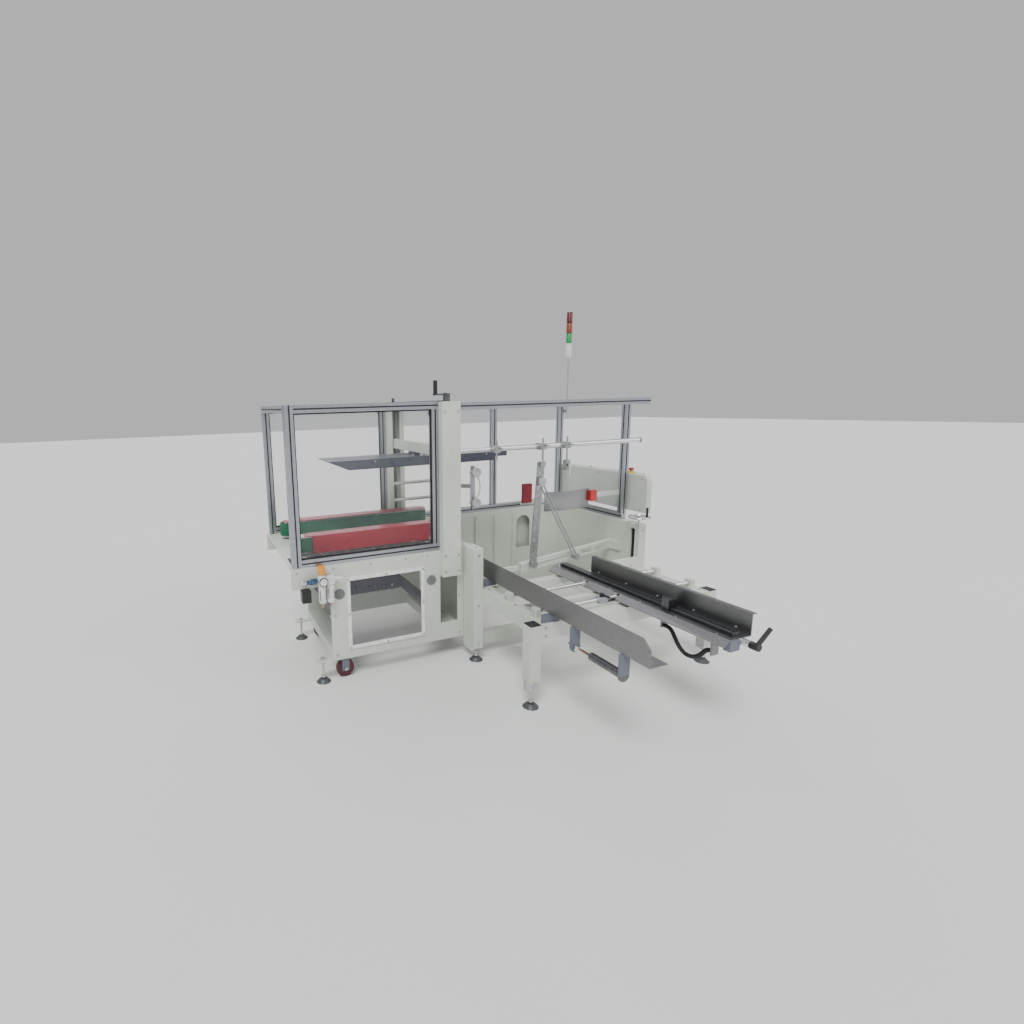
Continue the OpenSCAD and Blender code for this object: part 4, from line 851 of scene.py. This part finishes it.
class ERECTOR_OT_air(bpy.types.Operator):
    """Build the air preparation unit, its gauge and its valve"""

    bl_idname = "erector.air"
    bl_label = "Air unit"

    def execute(self, context):
        z = 0.572
        y = 0.160
        bowls = (-1.051, -1.008)
        unit = Builder("air_unit_body", "frame", "white plastic", "black plastic", "copper",
                       "blue steel", "chrome")
        for x in bowls:
            unit.box((x - 0.0205, 0.1385, z - 0.019), (x + 0.0205, 0.1815, z + 0.019))
            unit.lathe((x, y, z - 0.122), (0, 0, 1), [(0.012, 0), (0.0185, 0.008), (0.0195, 0.02),
                                                      (0.0195, 0.094), (0.0175, 0.098),
                                                      (0.0175, 0.103)])
            # viewing slots in the bowl guards
            for turn in range(4):
                angle = math.radians(45 + 90 * turn)
                a = Vector((x + 0.0168 * math.cos(angle), y + 0.0168 * math.sin(angle), 0))
                unit.rod((a.x, a.y, z - 0.100), (a.x, a.y, z - 0.045), 0.0034, 1, sides=12)
            unit.lathe((x, y, z - 0.142), (0, 0, 1), [(0.003, 0), (0.0048, 0.002), (0.0048, 0.012),
                                                      (0.0035, 0.014), (0.0035, 0.021)], 2)
        unit.box((-1.0725, 0.1815, z - 0.012), (-0.987, 0.190, z + 0.012), 1)
        unit.lathe((bowls[0], y, z + 0.019), (0, 0, 1), [(0.017, 0), (0.017, 0.005),
                                                         (0.0155, 0.007), (0.0155, 0.0128)])
        unit.lathe((-0.9870, y, z), (1, 0, 0), [(0.009, 0), (0.009, 0.024), (0.0075, 0.026),
                                                (0.0075, 0.041)])
        # sleeve valve in blue steel, and its chrome fitting to the left
        unit.lathe((-1.0720, y, z), (-1, 0, 0), [(0.010, 0), (0.010, 0.006), (0.0155, 0.010),
                                                 (0.0155, 0.040), (0.011, 0.044),
                                                 (0.011, 0.060)], 3)
        unit.lathe((-1.132, y, z), (-1, 0, 0), [(0.0125, 0), (0.0125, 0.020), (0.009, 0.024),
                                                (0.009, 0.033)], 4)
        made = unit.done(edge=0.0012)
        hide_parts("air_unit")

        gauge = Builder("air_gauge", "frame", "black plastic", "window trim", "red plastic")
        x = bowls[0] + 0.002
        gauge.lathe((x, 0.1385, z), (0, -1, 0), [(0.006, 0), (0.006, 0.004), (0.022, 0.005),
                                                 (0.0228, 0.012), (0.0215, 0.0142),
                                                 (0.0195, 0.0142), (0.0195, 0.0125)])
        gauge.rod((x, 0.1262, z), (x, 0.1256, z), 0.0193, 1)
        gauge.box((x - 0.0006, 0.1249, z - 0.004), (x + 0.0006, 0.1255, z + 0.014), 2)
        for k in range(9):
            angle = math.radians(-120 + 30 * k)
            at = Vector((x + 0.0158 * math.sin(angle), 0.1252, z + 0.0158 * math.cos(angle)))
            gauge.rod(at, at + Vector((0.0028 * math.sin(angle), 0, 0.0028 * math.cos(angle))),
                      0.0004, 0, sides=6)
        gauge.done(edge=0.0004)
        return {"FINISHED"}


class ERECTOR_OT_box_trim(bpy.types.Operator):
    """Add the control box's button bezels, screws and nuts"""

    bl_idname = "erector.box_trim"
    bl_label = "Control box trim"

    def execute(self, context):
        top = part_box("control_box")[1].z - 0.013
        trim = Builder("control_box_trim", "frame", "yellow plastic", "zinc", "black plastic",
                       "body paint")
        stop = (1.150, 0.372)
        start = (1.150, 0.755)
        trim.lathe((*stop, top), (0, 0, 1), [(0.030, 0), (0.030, 0.003), (0.028, 0.0045),
                                             (0.0232, 0.0045), (0.0232, 0.0125)])
        trim.lathe((*start, top), (0, 0, 1), [(0.015, 0), (0.015, 0.002), (0.012, 0.0035),
                                              (0.0115, 0.0035)], 1)
        for z in (0.720, 0.920):
            for y in (0.23, 0.62, 1.00):
                trim.screw((1.100, y, z), (-1, 0, 0), 0.006, 1)
        for z in (0.760, 0.882):
            trim.nut((1.0862, 0.354, z), (1, 0, 0), 0.013, 0.008, 2)
        trim.done()
        return {"FINISHED"}


class ERECTOR_OT_tape_head(bpy.types.Operator):
    """Add the tape head's comb, curved guard, nuts, screws and web rollers"""

    bl_idname = "erector.tape_head"
    bl_label = "Tape head trim"

    def execute(self, context):
        left, right = -0.920, -0.450
        y = (0.605, 0.685)
        trim = Builder("tape_head_trim", "frame", "head paint", "zinc", "chrome")
        # comb along the head's lower edge, and the curved guard on the near cheek
        for k in range(16):
            x = left + 0.02 + k * 0.027
            trim.box((x, y[0] - 0.010, 0.302), (x + 0.012, y[0], 0.345))
        arc = [Vector((left + 0.09 + 0.05 * math.cos(a), y[0] - 0.006,
                       0.50 + 0.05 * math.sin(a)))
               for a in (math.radians(90 + 15 * k) for k in range(13))]
        trim.tube(arc, 0.005, 1)
        for x, z in ((left + 0.06, 0.60), (left + 0.22, 0.60), (right - 0.06, 0.60),
                     (left + 0.06, 0.33), (right - 0.06, 0.33), (left + 0.33, 0.42)):
            trim.nut((x, y[0], z), (0, -1, 0), 0.011, 0.008, 1)
            trim.screw((x, y[0] - 0.008, z), (0, -1, 0), 0.006, 1)
        for x, z in ((left + 0.20, 0.47), (left + 0.16, 0.40)):
            trim.rod((x, y[0] + 0.006, z), (x, y[1] - 0.006, z), 0.010, 2)
        trim.done()
        return {"FINISHED"}


class ERECTOR_OT_press(bpy.types.Operator):
    """Add the ski's fixings and the crank's grip"""

    bl_idname = "erector.press"
    bl_label = "Press trim"

    def execute(self, context):
        beam_low, beam_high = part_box("cross_beam")
        trim = Builder("ski_fixings", "press", "zinc")
        for x in (beam_low.x + 0.010, beam_high.x - 0.010):
            for y in (0.575, 0.725):
                trim.nut((x + (0.03 if x > -0.32 else -0.03), y, 1.130), (0, 0, 1), 0.010, 0.007)
        for x in (-0.62, -0.10, 0.12):
            trim.screw((x, 0.525, 1.118), (0, -1, 0), 0.006)
        trim.done()

        grip_low, grip_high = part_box("top_crank")
        x = grip_low.x + 0.011
        grip = Builder("crank_grip_cap", "crank", "black plastic", "chrome")
        grip.lathe((x + 0.000, 0.205, grip_high.z - 0.0005), (0, 0, 1),
                   [(0.0105, 0), (0.009, 0.0003), (0.004, 0.0004)])
        grip.lathe((-0.319, 0.205, 1.4912), (0, 0, 1), [(0.016, 0), (0.015, 0.003),
                                                       (0.006, 0.004)], 1)
        grip.done(edge=0)
        return {"FINISHED"}


class ERECTOR_OT_magazine_trim(bpy.types.Operator):
    """Add leg caps, foot nuts, magazine screws, the channel's slide strips and its bolts"""

    bl_idname = "erector.magazine_trim"
    bl_label = "Magazine trim"

    def execute(self, context):
        caps = Builder("leg_caps", "frame", "black plastic")
        for x in (-0.201, 0.921):
            caps.box((x - 0.029, -0.449, 0.415), (x + 0.029, -0.391, 0.4195))
        caps.done(edge=0.002)

        nuts = Builder("foot_nuts", "frame", "zinc")
        for x, y, z in ((-1.057, 0.207, 0.100), (-1.057, 0.784, 0.100), (-0.201, -0.420, 0.072),
                        (0.921, -0.420, 0.072), (-0.200, 0.095, 0.045), (1.060, 0.195, 0.050)):
            nuts.nut((x, y, z), (0, 0, 1), 0.0125, 0.009)
            nuts.nut((x, y, 0.026), (0, 0, 1), 0.0125, 0.009)
        nuts.done()

        screws = Builder("magazine_screws", "frame", "zinc")
        for x in (-0.145, 0.866):
            for y in (-0.418, -0.20, 0.05):
                screws.screw((x, y, 0.420), (0, 0, 1), 0.006)
        for z in (0.40, 0.36):
            for x in (-0.145, 0.866):
                screws.screw((x, -0.448, z), (0, -1, 0), 0.006)
        screws.done(edge=0)

        low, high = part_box("channel_guide")
        strips = Builder("channel_slide_strips", "channel", "chrome", "zinc")
        for x in (low.x + 0.008, high.x - 0.010):
            strips.box((x - 0.0012, low.y + 0.01, high.z), (x + 0.0012, high.y - 0.01,
                                                            high.z + 0.0002))
        strips.done(edge=0)

        wall = 0.473
        bolts = Builder("channel_bolts", "channel", "zinc", "black plastic", "chrome")
        for y in (-0.90, -0.70, -0.50, -0.30, -0.10):
            bolts.screw((wall, y, 0.476), (-1, 0, 0), 0.005)
            bolts.screw((0.364, y, 0.464), (0, 0, 1), 0.004)
        bolts.lathe((0.364, 0.10, 0.464), (0, 0, 1), [(0.006, 0), (0.006, 0.020), (0.012, 0.024),
                                                      (0.012, 0.036), (0.008, 0.040)], 2)
        bolts.done(edge=0)
        return {"FINISHED"}


class ERECTOR_OT_cups(bpy.types.Operator):
    """Build the suction cups' bellows and their tube"""

    bl_idname = "erector.cups"
    bl_label = "Suction cups"

    def execute(self, context):
        cups = Builder("cup_bellows", "suction", "cup silicone", "red plastic", "black rubber",
                       "zinc")
        for z in (0.844, 1.028):
            cups.lathe((-0.039, 0.3672, z), (0, -1, 0),
                       [(0.0260, -0.0015), (0.0285, 0.0005), (0.0286, 0.0020), (0.0265, 0.0032),
                        (0.0200, 0.0015), (0.0120, 0.0008)])
            cups.lathe((-0.039, 0.4050, z), (0, -1, 0),
                       [(0.0118, 0), (0.0135, 0.004), (0.0118, 0.008), (0.0135, 0.012),
                        (0.0118, 0.016), (0.0135, 0.020), (0.0125, 0.024)])
            cups.nut((-0.039, 0.4252, z), (0, 1, 0), 0.009, 0.007, 3)
        cups.done(edge=0)

        hose = Builder("cup_tube", "suction", "white plastic")
        hose.tube(curve([(-0.039, 0.398, 1.003), (-0.014, 0.392, 0.990), (-0.004, 0.388, 0.937),
                         (-0.014, 0.392, 0.884), (-0.039, 0.398, 0.869)]), 0.004)
        hose.done(edge=0)
        return {"FINISHED"}


class ERECTOR_OT_caster_trim(bpy.types.Operator):
    """Add the axle nuts and fork bolts of the casters"""

    bl_idname = "erector.caster_trim"
    bl_label = "Caster trim"

    def execute(self, context):
        low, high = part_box("caster_forks")
        x = (low.x + high.x) / 2
        trim = Builder("caster_fixings", "frame", "zinc", "bracket paint")
        for y in (low.y + 0.024, high.y - 0.024):
            for side in (-1, 1):
                trim.nut((x, y + side * 0.022, 0.05), (0, side, 0), 0.010, 0.006)
                for s in (-1, 1):
                    trim.nut((x + s * 0.022, y + side * 0.0115, 0.105), (0, 0, -1), 0.006, 0.005)
        trim.done()
        return {"FINISHED"}


class ERECTOR_OT_stage(bpy.types.Operator):
    """Lay the floor and hang the studio lights"""

    bl_idname = "erector.stage"
    bl_label = "Floor and lights"

    def execute(self, context):
        data = bpy.data.meshes.new("studio floor")
        data.from_pydata([(-30, -30, 0), (30, -30, 0), (30, 30, 0), (-30, 30, 0)], [],
                         [(0, 1, 2, 3)])
        floor = bpy.data.objects.new("studio_floor", data)
        context.scene.collection.objects.link(floor)
        data.materials.append(finish("floor"))
        world = bpy.data.worlds.new("studio")
        world.use_nodes = True
        background = world.node_tree.nodes["Background"]
        background.inputs["Color"].default_value = (0.97, 0.975, 1.0, 1)
        background.inputs["Strength"].default_value = 0.58
        context.scene.world = world
        power = context.scene.erector_stage.key_power
        for name, place, spread, share in (
                ("key_light", (-2.4, -2.8, 5.2), 24, 1.0),
                ("fill_light", (4.6, -3.4, 3.6), 45, 0.30),
                ("back_light", (1.0, 5.0, 4.0), 50, 0.35)):
            lamp = bpy.data.lights.new(name, "SUN")
            lamp.energy = power * share
            lamp.angle = math.radians(spread)
            obj = bpy.data.objects.new(name, lamp)
            context.scene.collection.objects.link(obj)
            obj.location = place
            obj.rotation_euler = (-Vector(place)).to_track_quat("-Z", "Y").to_euler()
        return {"FINISHED"}


class ERECTOR_PT_build(bpy.types.Panel):
    """Lists the build steps in the sidebar"""

    bl_label = "Case erector"
    bl_idname = "ERECTOR_PT_build"
    bl_space_type = "VIEW_3D"
    bl_region_type = "UI"
    bl_category = "Erector"

    def draw(self, context):
        scene = context.scene
        for settings in (scene.erector_paint, scene.erector_stage, scene.erector_trim):
            box = self.layout.box()
            for name in settings.__annotations__:
                box.prop(settings, name)
        for step in STEPS:
            self.layout.operator(step.bl_idname)


STEPS = (
    ERECTOR_OT_camera, ERECTOR_OT_hose, ERECTOR_OT_finishes, ERECTOR_OT_window,
    ERECTOR_OT_guard_fittings, ERECTOR_OT_tower, ERECTOR_OT_air, ERECTOR_OT_box_trim,
    ERECTOR_OT_tape_head, ERECTOR_OT_press, ERECTOR_OT_magazine_trim, ERECTOR_OT_cups,
    ERECTOR_OT_caster_trim, ERECTOR_OT_stage,
)
CLASSES = (PaintSettings, StageSettings, TrimSettings, *STEPS, ERECTOR_PT_build)


def register():
    for item in CLASSES:
        bpy.utils.register_class(item)
    bpy.types.Scene.erector_paint = PointerProperty(type=PaintSettings)
    bpy.types.Scene.erector_stage = PointerProperty(type=StageSettings)
    bpy.types.Scene.erector_trim = PointerProperty(type=TrimSettings)


def unregister():
    del bpy.types.Scene.erector_trim
    del bpy.types.Scene.erector_stage
    del bpy.types.Scene.erector_paint
    for item in reversed(CLASSES):
        bpy.utils.unregister_class(item)


def main():
    register()
    for step in STEPS:
        family, name = step.bl_idname.split(".")
        getattr(getattr(bpy.ops, family), name)()


if __name__ == "__main__":
    main()
